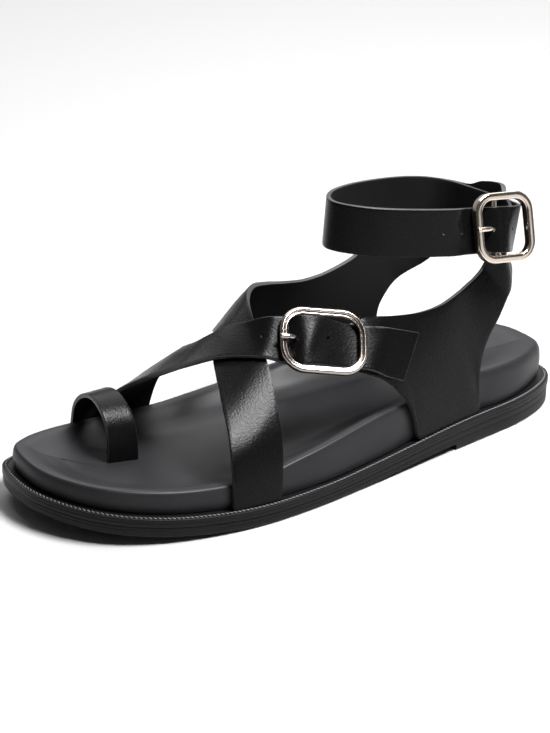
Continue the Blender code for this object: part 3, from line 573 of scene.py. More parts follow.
# ---- the form under the straps -----------------------------------------------
def form_size(x):
    crest, crest_y, lateral_power, medial_power = read_table(FORM_ROWS, x)
    lateral = read_table(WALL_Y[1], x)[0] - crest_y
    medial = crest_y - read_table(WALL_Y[-1], x)[0]
    return crest, crest_y, lateral, medial, lateral_power, medial_power


def form_base(x, side):
    """Height where the form leaves the footbed's wall and starts to round over."""
    rise = blend(FORM_RIM_HEEL, FORM_RIM_BALL, ease((x - FORM_RIM_START) / FORM_RIM_LENGTH))
    if side < 0:
        rise += FORM_ARCH * bell(x - ARCH_STATION, FORM_ARCH_SPREAD)
    return on_welt(x) + WALL_SHARE * rise


def on_form(x, angle, off=0.0):
    """Point on the form: 0 degrees on the lateral wall, 90 on the crest, 180 on the medial."""
    crest, crest_y, lateral, medial, lateral_power, medial_power = form_size(x)
    side = 1 if angle <= 90.0 else -1
    base, root = form_base(x, side), on_welt(x)
    reach = lateral if side > 0 else -medial
    power = lateral_power if side > 0 else medial_power
    if angle < 0.0 or angle > 180.0:
        depth = min(-angle if angle < 0.0 else angle - 180.0, WALL_ANGLE) / WALL_ANGLE
        return Vector((x, crest_y + reach + side * off, blend(base, root, depth)))
    turn = math.radians(angle)
    width, height = abs(math.cos(turn)), math.sin(turn)
    y = crest_y + reach * width ** (2.0 / power)
    z = base + (crest - base) * height ** (2.0 / power)
    across = width ** (2.0 - 2.0 / power) / abs(reach)
    up = height ** (2.0 - 2.0 / power) / (crest - base)
    outward = Vector((FORM_SLOPE * up, side * across, up)).normalized()
    return Vector((x, y, z)) + outward * off


def form_angle(x, z, side):
    """Angle on the form at a station and height; 0 stands for the top of the welt."""
    crest, _, _, _, lateral_power, medial_power = form_size(x)
    base, root = form_base(x, side), on_welt(x)
    if z < base:
        depth = min((base - max(z, root)) / (base - root), 1.0) * WALL_ANGLE
        return -depth if side > 0 else 180.0 + depth
    power = lateral_power if side > 0 else medial_power
    turn = math.degrees(math.asin(min((z - base) / (crest - base), 1.0) ** (power / 2.0)))
    return turn if side > 0 else 180.0 - turn


# ---- the ankle strap's path --------------------------------------------------
ANKLE_PLAN = through(ANKLE_ROWS, ANKLE_STEPS, closed=True)
ANKLE_NORMAL = Vector((-ANKLE_PITCH, -ANKLE_ROLL, 1.0)).normalized()


def ankle_plan(angle):
    place = (angle % 360.0) / 360.0 * len(ANKLE_PLAN)
    i = int(place)
    a, b = ANKLE_PLAN[i % len(ANKLE_PLAN)], ANKLE_PLAN[(i + 1) % len(ANKLE_PLAN)]
    return Vector((blend(a[0], b[0], place - i), blend(a[1], b[1], place - i)))


def on_ankle(angle, height, out=0.0):
    """Point round the ankle: height from the strap's middle line, out from its middle."""
    here = ankle_plan(angle)
    along = ankle_plan(angle + ANKLE_LOOK) - ankle_plan(angle - ANKLE_LOOK)
    outward = Vector((along.y, -along.x, 0.0)).normalized()
    level = (ANKLE_CENTRE[2] + ANKLE_PITCH * (here.x - ANKLE_CENTRE[0])
             + ANKLE_ROLL * (here.y - ANKLE_CENTRE[1]))
    below = max(-ANKLE_WIDTH / 2 - height, 0.0)
    point = Vector((here.x, here.y, level - below)) + ANKLE_NORMAL * (height + below)
    return point + outward * (out + ANKLE_FLARE * (height + below))


# ---- buckle places -----------------------------------------------------------
def place_at(origin, along, across, buckle):
    """Local frame: x along the strap to its tail, y across it, z out of it."""
    along = along.normalized()
    out = along.cross(across).normalized()
    across = out.cross(along)
    back, up = buckle["shift"]
    turn = Matrix.Rotation(math.radians(buckle["turn"]), 3, "Y")
    lean = Matrix.Rotation(math.radians(buckle["lean"]), 3, "X")
    tilt = Matrix.Rotation(math.radians(buckle["tilt"]), 3, "Z")
    rotation = Matrix((along, across, out)).transposed() @ turn @ lean @ tilt
    return rotation, origin + along * back + across * up


def instep_buckle_place():
    x, angle = INSTEP_BUCKLE_SEAT
    edges = [(on_form(*INSTEP_ROWS[i][:2]), on_form(*INSTEP_ROWS[i][2:4]))
             for i in INSTEP_BUCKLE_ROWS]
    tail, head = ((front + rear) / 2 for front, rear in (edges[0], edges[-1]))
    across = edges[1][1] - edges[1][0]
    return place_at(on_form(x, angle), tail - head, across, INSTEP_BUCKLE)


def ankle_buckle_place():
    angle, (turn, rise) = ANKLE_BUCKLE_ANGLE, ANKLE_BUCKLE_REACH
    along = (on_ankle(angle + turn, 0.0) - on_ankle(angle - turn, 0.0)).normalized()
    across = (on_ankle(angle, rise) - on_ankle(angle, -rise)).normalized()
    return place_at(on_ankle(angle, 0.0, INSIDE + STRAP), along, across, ANKLE_BUCKLE)


def to_local(point, place):
    rotation, origin = place
    return rotation.transposed() @ (Vector(point) - origin)


def from_local(local, place):
    rotation, origin = place
    return rotation @ Vector(local) + origin


def end_bar(buckle):
    """Distance of the end bars' middle lines from the middle of the frame."""
    return buckle["length"] / 2 - buckle["face"] / 2


def frame_bottom(buckle):
    """Height of the frame's underside over the form."""
    return buckle["seat"] + STRAP + SEAT_GAP


def prong_root(buckle):
    """Place along the strap where the prong rises beside the middle bar."""
    return buckle["bar_place"] - buckle["bar_radius"] - GAP - PRONG_RADIUS


def seat_in_buckle(point, buckle, place):
    """Lift a strap's inner face over the buckle's bar and lay it flat under its ends."""
    local = to_local(point, place)
    reach = end_bar(buckle)
    side = local.x - buckle["bar_place"]
    run = reach + (buckle["bar_place"] if side < 0 else -buckle["bar_place"]) - HUMP_END
    hump = 0.5 + 0.5 * math.cos(math.pi * min(abs(side) / run, 1.0))
    rest = local.z if side > 0 and buckle["open_end"] else buckle["seat"]
    wanted = blend(rest, buckle["lift"], hump)
    hold = 1.0 - ease((abs(local.x) - reach - SEAT_FLAT) / SEAT_RELEASE)
    hold *= 1.0 - ease((abs(local.z) - SEAT_RELEASE) / SEAT_RELEASE)
    local.z = blend(local.z, wanted, hold)
    return from_local(local, place)


def tuck_under(point, buckle, place):
    """Sink a layer below the strap where the buckle's end bar presses the strap down."""
    local = to_local(point, place)
    reach = buckle["length"] / 2
    hold = ease(2.0 * local.x / reach) * (1.0 - ease((local.x - reach) / SEAT_RELEASE))
    hold *= 1.0 - ease((abs(local.y) - buckle["width"] / 2) / SEAT_RELEASE)
    hold *= 1.0 - ease((abs(local.z) - SEAT_RELEASE) / SEAT_RELEASE)
    local.z = blend(local.z, min(local.z, buckle["seat"] - STRAP - GAP), hold)
    return from_local(local, place)


def pass_buckle(rows, move, buckle, place):
    """Rows of a strap, each point moved by seat_in_buckle or tuck_under."""
    return [[tuple(move(point, buckle, place)) for point in row] for row in rows]


# ---- materials ---------------------------------------------------------------
NOISE_LOW, NOISE_HIGH = 0.3, 0.7     # a noise texture's values hardly leave this range


def linear(code):
    """Linear colour of an sRGB hex value such as #1a1a1b."""
    channels = [int(code[i:i + 2], 16) / 255.0 for i in (1, 3, 5)]
    return tuple(c / 12.92 if c <= 0.04045 else ((c + 0.055) / 1.055) ** 2.4 for c in channels)


def add_node(tree, kind, inputs, **settings):
    """A shader node with its settings, its input values and the links into it."""
    node = tree.nodes.new(kind)
    for name, value in settings.items():
        setattr(node, name, value)
    for name, value in inputs.items():
        if isinstance(value, bpy.types.NodeSocket):
            tree.links.new(value, node.inputs[name])
        else:
            node.inputs[name].default_value = value
    return node


def new_material(name, **shader_inputs):
    """A material with plain inputs of its Principled shader set; returns it with its node tree
    and the Object coordinates that its patterns read."""
    material = bpy.data.materials.new(name)
    material.use_nodes = True
    tree = material.node_tree
    for socket, value in shader_inputs.items():
        tree.nodes["Principled BSDF"].inputs[socket.replace("_", " ")].default_value = value
    return material, tree, add_node(tree, "ShaderNodeTexCoord", {}).outputs["Object"]


def scale_of(millimetres):
    """Scale of a pattern whose features have this size."""
    return 1.0 / (millimetres * MM)


def lay_surface(tree, colour, change, tone, gloss=None, relief=()):
    """Lay patterns on the shader. The pattern tone takes the colour from a darker shade to a
    lighter one, gloss is a pattern with the roughness at its low and its high end, and each
    relief is a pattern with its strength and its depth in millimetres."""
    shader = tree.nodes["Principled BSDF"]
    base = getattr(bpy.context.scene.sandal_colours, colour)
    mix = add_node(tree, "ShaderNodeMix", {
        "Factor": tone,
        "A": (*(c * (1.0 - change) for c in base), 1.0),
        "B": (*(min(c * (1.0 + change), 1.0) for c in base), 1.0)}, data_type="RGBA")
    tree.links.new(mix.outputs["Result"], shader.inputs["Base Color"])
    if gloss:
        pattern, smooth, rough = gloss
        level = add_node(tree, "ShaderNodeMapRange", {
            "Value": pattern, "From Min": NOISE_LOW, "From Max": NOISE_HIGH,
            "To Min": smooth, "To Max": rough})
        tree.links.new(level.outputs["Result"], shader.inputs["Roughness"])
    below = {}
    for pattern, strength, depth in relief:
        bump = add_node(tree, "ShaderNodeBump", {
            "Height": pattern, "Strength": strength, "Distance": depth * MM, **below})
        below = {"Normal": bump.outputs["Normal"]}
        tree.links.new(bump.outputs["Normal"], shader.inputs["Normal"])


def smooth_leather():
    """Full-grain cowhide, drum-dyed black and lightly waxed: fine pores and pebbles break up a
    broad gloss, and the wax makes the gloss a little uneven. The grain is drawn somewhat coarser
    than real grain, which would be too fine to show."""
    material, tree, place = new_material("full_grain_leather", IOR=1.45,
                                         Specular_IOR_Level=0.12)
    pebbles = add_node(tree, "ShaderNodeTexVoronoi", {"Vector": place, "Scale": scale_of(0.75)},
                       feature="SMOOTH_F1")
    pores = add_node(tree, "ShaderNodeTexNoise", {
        "Vector": place, "Scale": scale_of(1.0), "Detail": 4.0, "Roughness": 0.65}).outputs["Fac"]
    sag = add_node(tree, "ShaderNodeTexNoise", {
        "Vector": place, "Scale": scale_of(16.0), "Detail": 2.0}).outputs["Fac"]
    grain = add_node(tree, "ShaderNodeMath", {0: pebbles.outputs["Distance"], 1: pores},
                     operation="ADD").outputs["Value"]
    lay_surface(tree, "leather", 0.35, pores, gloss=(pores, 0.25, 0.34),
                relief=((grain, 0.55, 0.10), (sag, 0.12, 0.6)))
    return material


def strap_lining():
    """Microfibre backing of the straps: flat black with a soft nap, drawn coarser than a real
    nap, which would be too fine to show."""
    material, tree, place = new_material("microfibre_lining", IOR=1.4, Specular_IOR_Level=0.2,
                                         Roughness=0.6)
    nap = add_node(tree, "ShaderNodeTexNoise", {
        "Vector": place, "Scale": scale_of(0.6), "Detail": 3.0, "Roughness": 0.7}).outputs["Fac"]
    lay_surface(tree, "lining", 0.3, nap, relief=((nap, 0.2, 0.08),))
    return material


def edge_paint_and_painted_highlight():
    """Edge paint on the cut leather: burnished dark grey, with a satin shine that catches
    light. Its grey is lighter than the leather partly as the paint's own colour and partly as
    a painted highlight along the cut edges."""
    material, tree, place = new_material("burnished_edge_paint", IOR=1.5,
                                         Specular_IOR_Level=0.35, Roughness=0.38)
    brush = add_node(tree, "ShaderNodeTexNoise", {
        "Vector": place, "Scale": scale_of(1.2), "Detail": 3.0, "Roughness": 0.6}).outputs["Fac"]
    lay_surface(tree, "edge", 0.3, brush, relief=((brush, 0.25, 0.10),))
    return material


def footbed_leather():
    """Footbed cover: smooth corrected-grain leather over foam, matt, a little lighter than the
    straps, with a faint grain and soft pressing marks."""
    material, tree, place = new_material("corrected_grain_leather", IOR=1.45,
                                         Specular_IOR_Level=0.22)
    grain = add_node(tree, "ShaderNodeTexVoronoi", {"Vector": place, "Scale": scale_of(0.8)},
                     feature="SMOOTH_F1").outputs["Distance"]
    marks = add_node(tree, "ShaderNodeTexNoise", {
        "Vector": place, "Scale": scale_of(20.0), "Detail": 3.0}).outputs["Fac"]
    lay_surface(tree, "footbed", 0.2, marks, gloss=(marks, 0.38, 0.46),
                relief=((grain, 0.12, 0.06),))
    return material


def moulded_rubber(name, roughness):
    """Moulded rubber: deep black with a fine sandblasted mould skin and faint flow marks."""
    material, tree, place = new_material(name, IOR=1.5, Specular_IOR_Level=0.16)
    skin = add_node(tree, "ShaderNodeTexNoise", {
        "Vector": place, "Scale": scale_of(0.9), "Detail": 5.0, "Roughness": 0.7}).outputs["Fac"]
    flow = add_node(tree, "ShaderNodeTexNoise", {
        "Vector": place, "Scale": scale_of(12.0), "Detail": 2.0}).outputs["Fac"]
    lay_surface(tree, "rubber", 0.25, flow, gloss=(skin, roughness - 0.05, roughness + 0.05),
                relief=((skin, 0.35, 0.12),))
    return material


def tread_rubber():
    """The same rubber under the foot, moulded with fine wavy ribs across the sole."""
    material = moulded_rubber("ribbed_tread_rubber", 0.6)
    tree = material.node_tree
    place = tree.nodes["Texture Coordinate"].outputs["Object"]
    ribs = add_node(tree, "ShaderNodeTexWave", {
        "Vector": place, "Scale": scale_of(12.0), "Distortion": 1.5, "Detail": 0.0},
        wave_type="BANDS", bands_direction="X", wave_profile="SIN")
    steps = add_node(tree, "ShaderNodeMapRange", {
        "Value": ribs.outputs["Fac"], "From Min": 0.35, "From Max": 0.65})
    bump = add_node(tree, "ShaderNodeBump", {
        "Height": steps.outputs["Result"], "Strength": 1.0, "Distance": 1.2 * MM})
    tree.links.new(bump.outputs["Normal"], tree.nodes["Principled BSDF"].inputs["Normal"])
    return material


def waxed_thread():
    """Waxed polyester rope: dark grey, each twist with its own soft gloss. Its fibres are drawn
    coarser than real ones, which would be too fine to show."""
    material, tree, place = new_material("waxed_polyester_thread", IOR=1.5, Roughness=0.42)
    fibres = add_node(tree, "ShaderNodeTexNoise", {
        "Vector": place, "Scale": scale_of(0.4), "Detail": 2.0}).outputs["Fac"]
    lay_surface(tree, "thread", 0.35, fibres)
    return material


def plated_metal(name, colour, roughness):
    """Die-cast zinc, polished and plated: a mirror softened by a thin haze of wear."""
    material, tree, place = new_material(name, Metallic=1.0)
    haze = add_node(tree, "ShaderNodeTexNoise", {
        "Vector": place, "Scale": scale_of(4.0), "Detail": 3.0}).outputs["Fac"]
    lay_surface(tree, colour, 0.06, haze, gloss=(haze, roughness - 0.03, roughness + 0.03))
    return material


def studio_paper():
    """Pale seamless paper for the floor."""
    material, tree, place = new_material("seamless_paper", IOR=1.3, Roughness=0.9,
                                         Specular_IOR_Level=0.1)
    tooth = add_node(tree, "ShaderNodeTexNoise", {
        "Vector": place, "Scale": scale_of(300.0), "Detail": 2.0}).outputs["Fac"]
    lay_surface(tree, "paper", 0.01, tooth)
    return material


MATERIALS = {
    "leather": smooth_leather,
    "lining": strap_lining,
    "edge": edge_paint_and_painted_highlight,
    "footbed": footbed_leather,
    "rubber": lambda: moulded_rubber("moulded_rubber", 0.5),
    "welt": lambda: moulded_rubber("moulded_welt_rubber", 0.42),
    "tread": tread_rubber,
    "thread": waxed_thread,
    "instep_metal": lambda: plated_metal("polished_pale_gold_plate", "instep_metal", 0.17),
    "ankle_metal": lambda: plated_metal("polished_rose_gold_plate", "ankle_metal", 0.14),
    "paper": studio_paper,
}


def finish(key):
    """The named finish, made once."""
    scene, made = bpy.context.scene, "sandal_finish_" + key
    if made not in scene:
        scene[made] = MATERIALS[key]().name
    return bpy.data.materials[scene[made]]


# ---- making meshes -----------------------------------------------------------
def to_frame(point):
    return Vector((point[0] - CENTRE_X, point[1] - CENTRE_Y, point[2])) * MM


def only(thing):
    """Make thing the one selected and active object."""
    if bpy.context.object and bpy.context.object.mode != "OBJECT":
        bpy.ops.object.mode_set(mode="OBJECT")
    bpy.ops.object.select_all(action="DESELECT")
    thing.select_set(True)
    bpy.context.view_layer.objects.active = thing


def add(operator, **settings):
    """The object that an adding operator makes with nothing selected."""
    bpy.ops.object.select_all(action="DESELECT")
    operator(**settings)
    return bpy.context.object


def rename(piece, name):
    piece.name = name
    piece.data.name = name


def apply_modifier(piece, kind, **settings):
    modifier = piece.modifiers.new(kind.lower(), kind)
    for name, value in settings.items():
        setattr(modifier, name, value)
    only(piece)
    bpy.ops.object.modifier_apply(modifier=modifier.name)


def weld(piece, closed_body=False):
    """Merge doubled points; on a closed body, turn the faces out."""
    only(piece)
    bpy.ops.object.mode_set(mode="EDIT")
    bpy.ops.mesh.select_all(action="SELECT")
    bpy.ops.mesh.remove_doubles(threshold=2e-6)
    if closed_body:
        bpy.ops.mesh.normals_make_consistent(inside=False)
    bpy.ops.object.mode_set(mode="OBJECT")


def shape_grid(name, rows):
    """A grid laid on rows of places. Its UV map holds metres across and along."""
    along, across = len(rows), len(rows[0])
    piece = add(bpy.ops.mesh.primitive_grid_add, x_subdivisions=across - 1,
                y_subdivisions=along - 1, size=0.1)
    rename(piece, name)
    points = [to_frame(point) for row in rows for point in row]
    for vertex, point in zip(piece.data.vertices, points):
        vertex.co = point
    middle = across // 2
    far = [0.0]
    for a, b in zip(rows, rows[1:]):
        far.append(far[-1] + (Vector(b[middle]) - Vector(a[middle])).length * MM)
    places = []
    for i, row in enumerate(rows):
        reach = 0.0
        for j, point in enumerate(row):
            if j:
                reach += (Vector(point) - Vector(row[j - 1])).length * MM
            places.append((reach, far[i]))
    uv = piece.data.uv_layers[0].data
    for loop in piece.data.loops:
        uv[loop.index].uv = places[loop.vertex_index]
    return piece


def wrap(rows):
    """Rows closed round on their first point."""
    return [list(row) + [row[0]] for row in rows]


def set_finishes(piece, *keys):
    piece.data.materials.clear()
    for key in keys:
        piece.data.materials.append(finish(key))


def shade(piece, degrees=38.0):
    only(piece)
    bpy.ops.object.shade_smooth_by_angle(angle=math.radians(degrees))


def settle(piece, slot, *nodes):
    """Put a finished piece on the shoe: its body and the nodes it stands for; slot is not used.
    """
    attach(piece, "root")
    if nodes:
        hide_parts(*nodes)
    collection = bpy.data.collections.get(COLLECTION)
    if collection is None:
        collection = bpy.data.collections.new(COLLECTION)
        bpy.context.scene.collection.children.link(collection)
    for other in list(piece.users_collection):
        other.objects.unlink(piece)
    collection.objects.link(piece)


def cut(piece, *cutters):
    """Cut the cutters' shapes out of the piece, with their own finish on the cut faces."""
    for cutter in cutters:
        apply_modifier(piece, "BOOLEAN", operation="DIFFERENCE", object=cutter, solver="EXACT",
                       material_mode="TRANSFER")
        bpy.data.objects.remove(cutter, do_unlink=True)


def join(pieces):
    """Join several objects into the first."""
    only(pieces[0])
    for other in pieces[1:]:
        other.select_set(True)
    bpy.ops.object.join()
    return bpy.context.object


def strap_rows(rungs, steps=ALONG, closed=False):
    """Rows of a strap's inner face: smooth lines through its rungs, kept off the welt."""
    lines = [through([tuple(rung[k]) for rung in rungs], steps, closed)
             for k in range(len(rungs[0]))]
    rows = [[line[i] for line in lines] for i in range(len(lines[0]))]
    return [[(x, y, max(z, on_welt(x))) for x, y, z in row] for row in rows]


def make_strap(name, rows, closed=False):
    """Leather strap on its inner face's rows: given its thickness, a lining and round edges."""
    piece = shape_grid(name, rows + [rows[0]] if closed else rows)
    set_finishes(piece, "leather", "lining", "edge")
    if closed:
        weld(piece)
    sizes = bpy.context.scene.sandal_sizes
    apply_modifier(piece, "SOLIDIFY", thickness=sizes.strap, offset=1.0, use_even_offset=False,
                   material_offset=1, material_offset_rim=2)
    apply_modifier(piece, "BEVEL", width=sizes.edge_round, segments=3, limit_method="ANGLE",
                   angle_limit=math.radians(55.0))
    return piece


def punch(place, direction, depth=16.0):
    """A round cutter through a strap, at a place and along a direction."""
    radius = bpy.context.scene.sandal_sizes.hole
    turn = Vector(direction).to_track_quat("Z", "Y").to_euler()
    cutter = add(bpy.ops.mesh.primitive_cylinder_add, vertices=24, radius=radius,
                 depth=depth * MM, location=to_frame(place), rotation=turn)
    bpy.ops.object.transform_apply(location=True, rotation=True, scale=True)
    cutter.data.materials.append(finish("edge"))
    return cutter


# ---- the pieces --------------------------------------------------------------
def level_ring(inset, height):
    return [(x, y, height(x, y)) for x, y in inset_outline(inset)]


def spine_rings(ring, height, steps):
    """Rings that close in from a ring on the middle line of the sole."""
    count = len(ring)
    rings = []
    for step in range(1, steps + 1):
        t = step / steps
        row = []
        for i, (x, y, _) in enumerate(ring):
            station = clamp((x + ring[-i % count][0]) / 2, SPINE_HEEL, SPINE_TOE)
            there = blend(x, station, t), blend(y, middle_y(station), t)
            row.append((*there, height(*there)))
        rings.append(row)
    return rings


def ring_body(name, rings, under, top, *keys, steps=SPINE_STEPS):
    """Closed body through outline rings, from the middle of its underside to that of its top."""
    rings = (spine_rings(rings[0], under, SPINE_STEPS)[::-1] + rings
             + spine_rings(rings[-1], top, steps))
    piece = shape_grid(name, wrap(rings))
    set_finishes(piece, *keys)
    weld(piece, closed_body=True)
    return piece


def make_outsole():
    def tread(x, y):
        return toe_spring(x)

    def top(x, y):
        return welt_top(x) - WELT_THICKNESS - WELT_JOINT

    rings = []
    for inset, rise, share in OUTSOLE_PROFILE:
        def height(x, y, rise=rise, share=share):
            return blend(tread(x, y) + rise, top(x, y), share)
        rings.append(level_ring(inset, height))
    piece = ring_body("rubber_outsole", rings, tread, top, "rubber", "tread")

    rows = []
    for step in range(WAIST_STEPS + 1):
        x = blend(HEEL_END, BALL_START, step / WAIST_STEPS)
        rise = BREAST_STEP * (1.0 - ease(step / WAIST_STEPS))
        rows.append([(x, y, rise) for y in WAIST_SIDES])
    waist = shape_grid("waist", rows)
    waist.data.materials.append(finish("tread"))
    apply_modifier(waist, "SOLIDIFY", thickness=WAIST_DEPTH * MM, offset=1.0)
    weld(waist, closed_body=True)
    cut(piece, waist)
    for face in piece.data.polygons:
        face.material_index = 1 if face.normal.z < TREAD_FACING else 0
    shade(piece)
    return piece


def make_welt():
    def height(share):
        return lambda x, y: welt_top(x) - WELT_THICKNESS * (1.0 - share)

    rings = [level_ring(inset, height(share)) for inset, share in WELT_PROFILE]
    piece = ring_body("rubber_welt", rings, height(0.0), height(1.0), "welt")
    shade(piece)
    return piece


def make_rope_stitch():
    """Rope stitch sunk in the welt's channel: one twist is modelled, then laid along the welt."""
    length, width, height = ROPE_SIZE
    twist = add(bpy.ops.mesh.primitive_uv_sphere_add, segments=8, ring_count=6,
                radius=0.5 * MM)
    bpy.ops.object.mode_set(mode="EDIT")
    bpy.ops.mesh.select_all(action="SELECT")
    bpy.ops.transform.resize(value=(length, width, height))
    bpy.ops.transform.rotate(value=math.radians(ROPE_TWIST), orient_axis="Z",
                             center_override=(0.0, 0.0, 0.0))
    bpy.ops.object.mode_set(mode="OBJECT")
    path = [Vector(point) for point in inset_outline(ROPE_INSET)]
    path.append(path[0])
    total = sum((b - a).length for a, b in zip(path, path[1:]))
    count = round(total * MM / bpy.context.scene.sandal_sizes.rope_pitch)
    rope = bmesh.new()
    start = 0.0
    k = 0
    for a, b in zip(path, path[1:]):
        span = (b - a).length
        while k < count and k * total / count < start + span:
            t = (k * total / count - start) / span
            x, y = a.lerp(b, t)
            along = (b - a).normalized()
            z = welt_top(x) - ROPE_SINK
            slope = welt_top(x + 1.0) - welt_top(x)
            turn = Matrix((Vector((along.x, along.y, slope * along.x)).normalized(),
                           Vector((-along.y, along.x, 0.0)),
                           Vector((0.0, 0.0, 1.0)))).transposed().to_4x4()
            before = len(rope.verts)
            rope.from_mesh(twist.data)
            rope.verts.ensure_lookup_table()
            bmesh.ops.transform(rope, matrix=Matrix.Translation(to_frame((x, y, z))) @ turn,
                                verts=rope.verts[before:])
            k += 1
        start += span
    rope.to_mesh(twist.data)
    rope.free()
    rename(twist, "welt_rope_stitch")
    set_finishes(twist, "thread")
    shade(twist, 80.0)
    return twist


def make_footbed():
    def floor(x, y):
        return on_welt(x) + rim_height(x) - dish_depth(x) + arch(x, y)

    def under(x, y):
        return on_welt(x)

    rings = []
    for inset, share, dish in through(FOOTBED_PROFILE, PROFILE_STEPS):
        def height(x, y, share=share, dish=dish):
            return under(x, y) + share * (rim_height(x) + arch(x, y)) - dish * dish_depth(x)
        rings.append([(x, y, height(x, y)) for x, y in rim_ring(inset)])
    piece = ring_body("footbed_cover", rings, under, floor, "footbed", steps=DISH_STEPS)
    shade(piece, 60.0)
    return piece


def form_rung(low, high, low_off=0.0, high_off=0.0):
    """Points across a strap, between two (station, angle) places on the form."""
    return [on_form(blend(low[0], high[0], t), blend(low[1], high[1], t),
                    blend(low_off, high_off, t)) for t in SHARES]


def quarter_rung(row, side):
    low_x, low_z, high_x, high_z = row
    if low_z == ROOT:
        low_z = on_welt(low_x)
    places = [(blend(low_x, high_x, t), blend(low_z, high_z, t)) for t in SHARES]
    return [on_form(x, form_angle(x, z, side)) for x, z in places]


def stay_rung(row):
    low_angle, low, high_angle, high, low_out, high_out = row
    rung = []
    for t in SHARES:
        height = blend(low, high, t)
        turn = min((height - low) / (-ANKLE_WIDTH / 2 - STAY_TURN - low), 1.0)
        rung.append(on_ankle(blend(low_angle, high_angle, t), height,
                             blend(low_out, high_out, turn)))
    return rung


def make_cross_band():
    """The one large upper: cross strap, medial quarter, back stay and lateral quarter."""
    rungs = [form_rung((front, angle), (rear, angle)) for angle, front, rear in CROSS_ROWS]
    rungs += [quarter_rung(row, -1) for row in MEDIAL_ROWS]
    rungs += [stay_rung(row) for row in STAY_ROWS]
    rungs += [quarter_rung(row, 1) for row in LATERAL_ROWS]
    rows = pass_buckle(crease(strap_rows(rungs), BAND_CREASES), tuck_under, INSTEP_BUCKLE,
                       instep_buckle_place())
    piece = make_strap("cross_strap_and_quarters", rows)

    half = ANKLE_WIDTH / 2 + 2 * GAP
    rows = []
    for step in range(STAY_SLOT_STEPS + 1):
        angle = blend(*STAY_SLOT, step / STAY_SLOT_STEPS)
        rows.append([on_ankle(angle, height, -STAY_SLOT_DEPTH)
                     for height in (-half, -half / 3, half / 3, half)])
    slot = shape_grid("slot", rows)
    slot.data.materials.append(finish("edge"))
    apply_modifier(slot, "SOLIDIFY", thickness=2 * STAY_SLOT_DEPTH * MM, offset=-1.0)
    weld(slot, closed_body=True)
    cut(piece, slot)
    shade(piece)
    return piece


def hole_places(rows, place, buckle, wanted):
    """Places and directions of a strap's holes, given along the strap from its prong's root and
    to the side of its middle line."""
    root = from_local((prong_root(buckle), 0.0, buckle["lift"]), place)
    middle = [Vector(row[len(row) // 2]) for row in rows]
    nearest = min(range(len(middle)), key=lambda i: (middle[i] - root).length)
    holes = []
    for shift, aside in wanted:
        step = -1 if shift < 0.0 else 1
        i, left = nearest, abs(shift)
        while left > 0.0:
            left -= (middle[i + step] - middle[i]).length
            i += step
        here = middle[i] - (middle[i] - middle[i - step]).normalized() * -left
        across = Vector(rows[i][-1]) - Vector(rows[i][0])
        along = middle[i + 1] - middle[i - 1]
        holes.append((here + across.normalized() * aside, across.cross(along)))
    return holes


def crease(rows, creases):
    """Soft troughs and ridges in a strap. Each runs between two places, given as shares of the
    strap's length and width, and has a height and a width in millimetres."""
    last = len(rows) - 1
    width = (Vector(rows[last // 2][-1]) - Vector(rows[last // 2][0])).length
    length = sum((Vector(b[0]) - Vector(a[0])).length for a, b in zip(rows, rows[1:]))
    size = Vector((length, width))
    shaped = []
    for i, row in enumerate(rows):
        along = Vector(rows[min(i + 1, last)][0]) - Vector(rows[max(i - 1, 0)][0])
        new = []
        for j, point in enumerate(row):
            beside = Vector(row[min(j + 1, len(row) - 1)]) - Vector(row[max(j - 1, 0)])
            here = Vector((i / last * size.x, j / (len(row) - 1) * size.y))
            rise = 0.0
            for a, b, height, breadth in creases:
                start = Vector((a[0] * size.x, a[1] * size.y))
                run = Vector((b[0] * size.x, b[1] * size.y)) - start
                share = clamp((here - start).dot(run) / run.length_squared, 0.0, 1.0)
                off = (here - start - run * share).length
                wave = math.sin(math.pi * blend(CREASE_ENDS, 1.0 - CREASE_ENDS, share))
                rise += height * bell(off, breadth) * wave
            new.append(tuple(Vector(point) + beside.cross(along).normalized() * rise))
        shaped.append(new)
    return shaped


def make_buckled_strap(name, rows, place, buckle, wanted, closed=False):
    """A strap with its holes punched."""
    piece = make_strap(name, rows, closed)
    holes = hole_places(rows, place, buckle, wanted)
    cut(piece, join([punch(*hole) for hole in holes]))
    shade(piece)
    return piece


def make_instep_strap():
    rungs = [form_rung((front, angle), (rear, rear_angle), front_off, rear_off)
             for front, angle, rear, rear_angle, front_off, rear_off in INSTEP_ROWS]
    place = instep_buckle_place()
    rows = pass_buckle(strap_rows(rungs), seat_in_buckle, INSTEP_BUCKLE, place)
    rows = crease(rows, INSTEP_CREASES)
    return make_buckled_strap("instep_strap", rows, place, INSTEP_BUCKLE, INSTEP_HOLES)


def make_toe_loop():
    rungs = []
    for y, z, rear, front, skew in LOOP_ROWS:
        height = z if z > ROOT else on_welt(front)
        rungs.append([(blend(rear, front, k / LOOP_ACROSS), y - skew * k / LOOP_ACROSS, height)
                      for k in range(LOOP_ACROSS + 1)])
    piece = make_strap("toe_loop", strap_rows(rungs, LOOP_STEPS))
    shade(piece)
    return piece


def make_ankle_strap():
    half = ANKLE_WIDTH / 2
    heights = [blend(-half, half, k / ANKLE_ACROSS) for k in range(ANKLE_ACROSS + 1)]
    rows = [[on_ankle(-360.0 * i / ANKLE_STATIONS, height, -STRAP / 2) for height in heights]
            for i in range(ANKLE_STATIONS)]
    place = ankle_buckle_place()
    rows = pass_buckle(rows, seat_in_buckle, ANKLE_BUCKLE, place)
    return make_buckled_strap("ankle_strap_ring", rows, place, ANKLE_BUCKLE, ANKLE_HOLES,
                              closed=True)


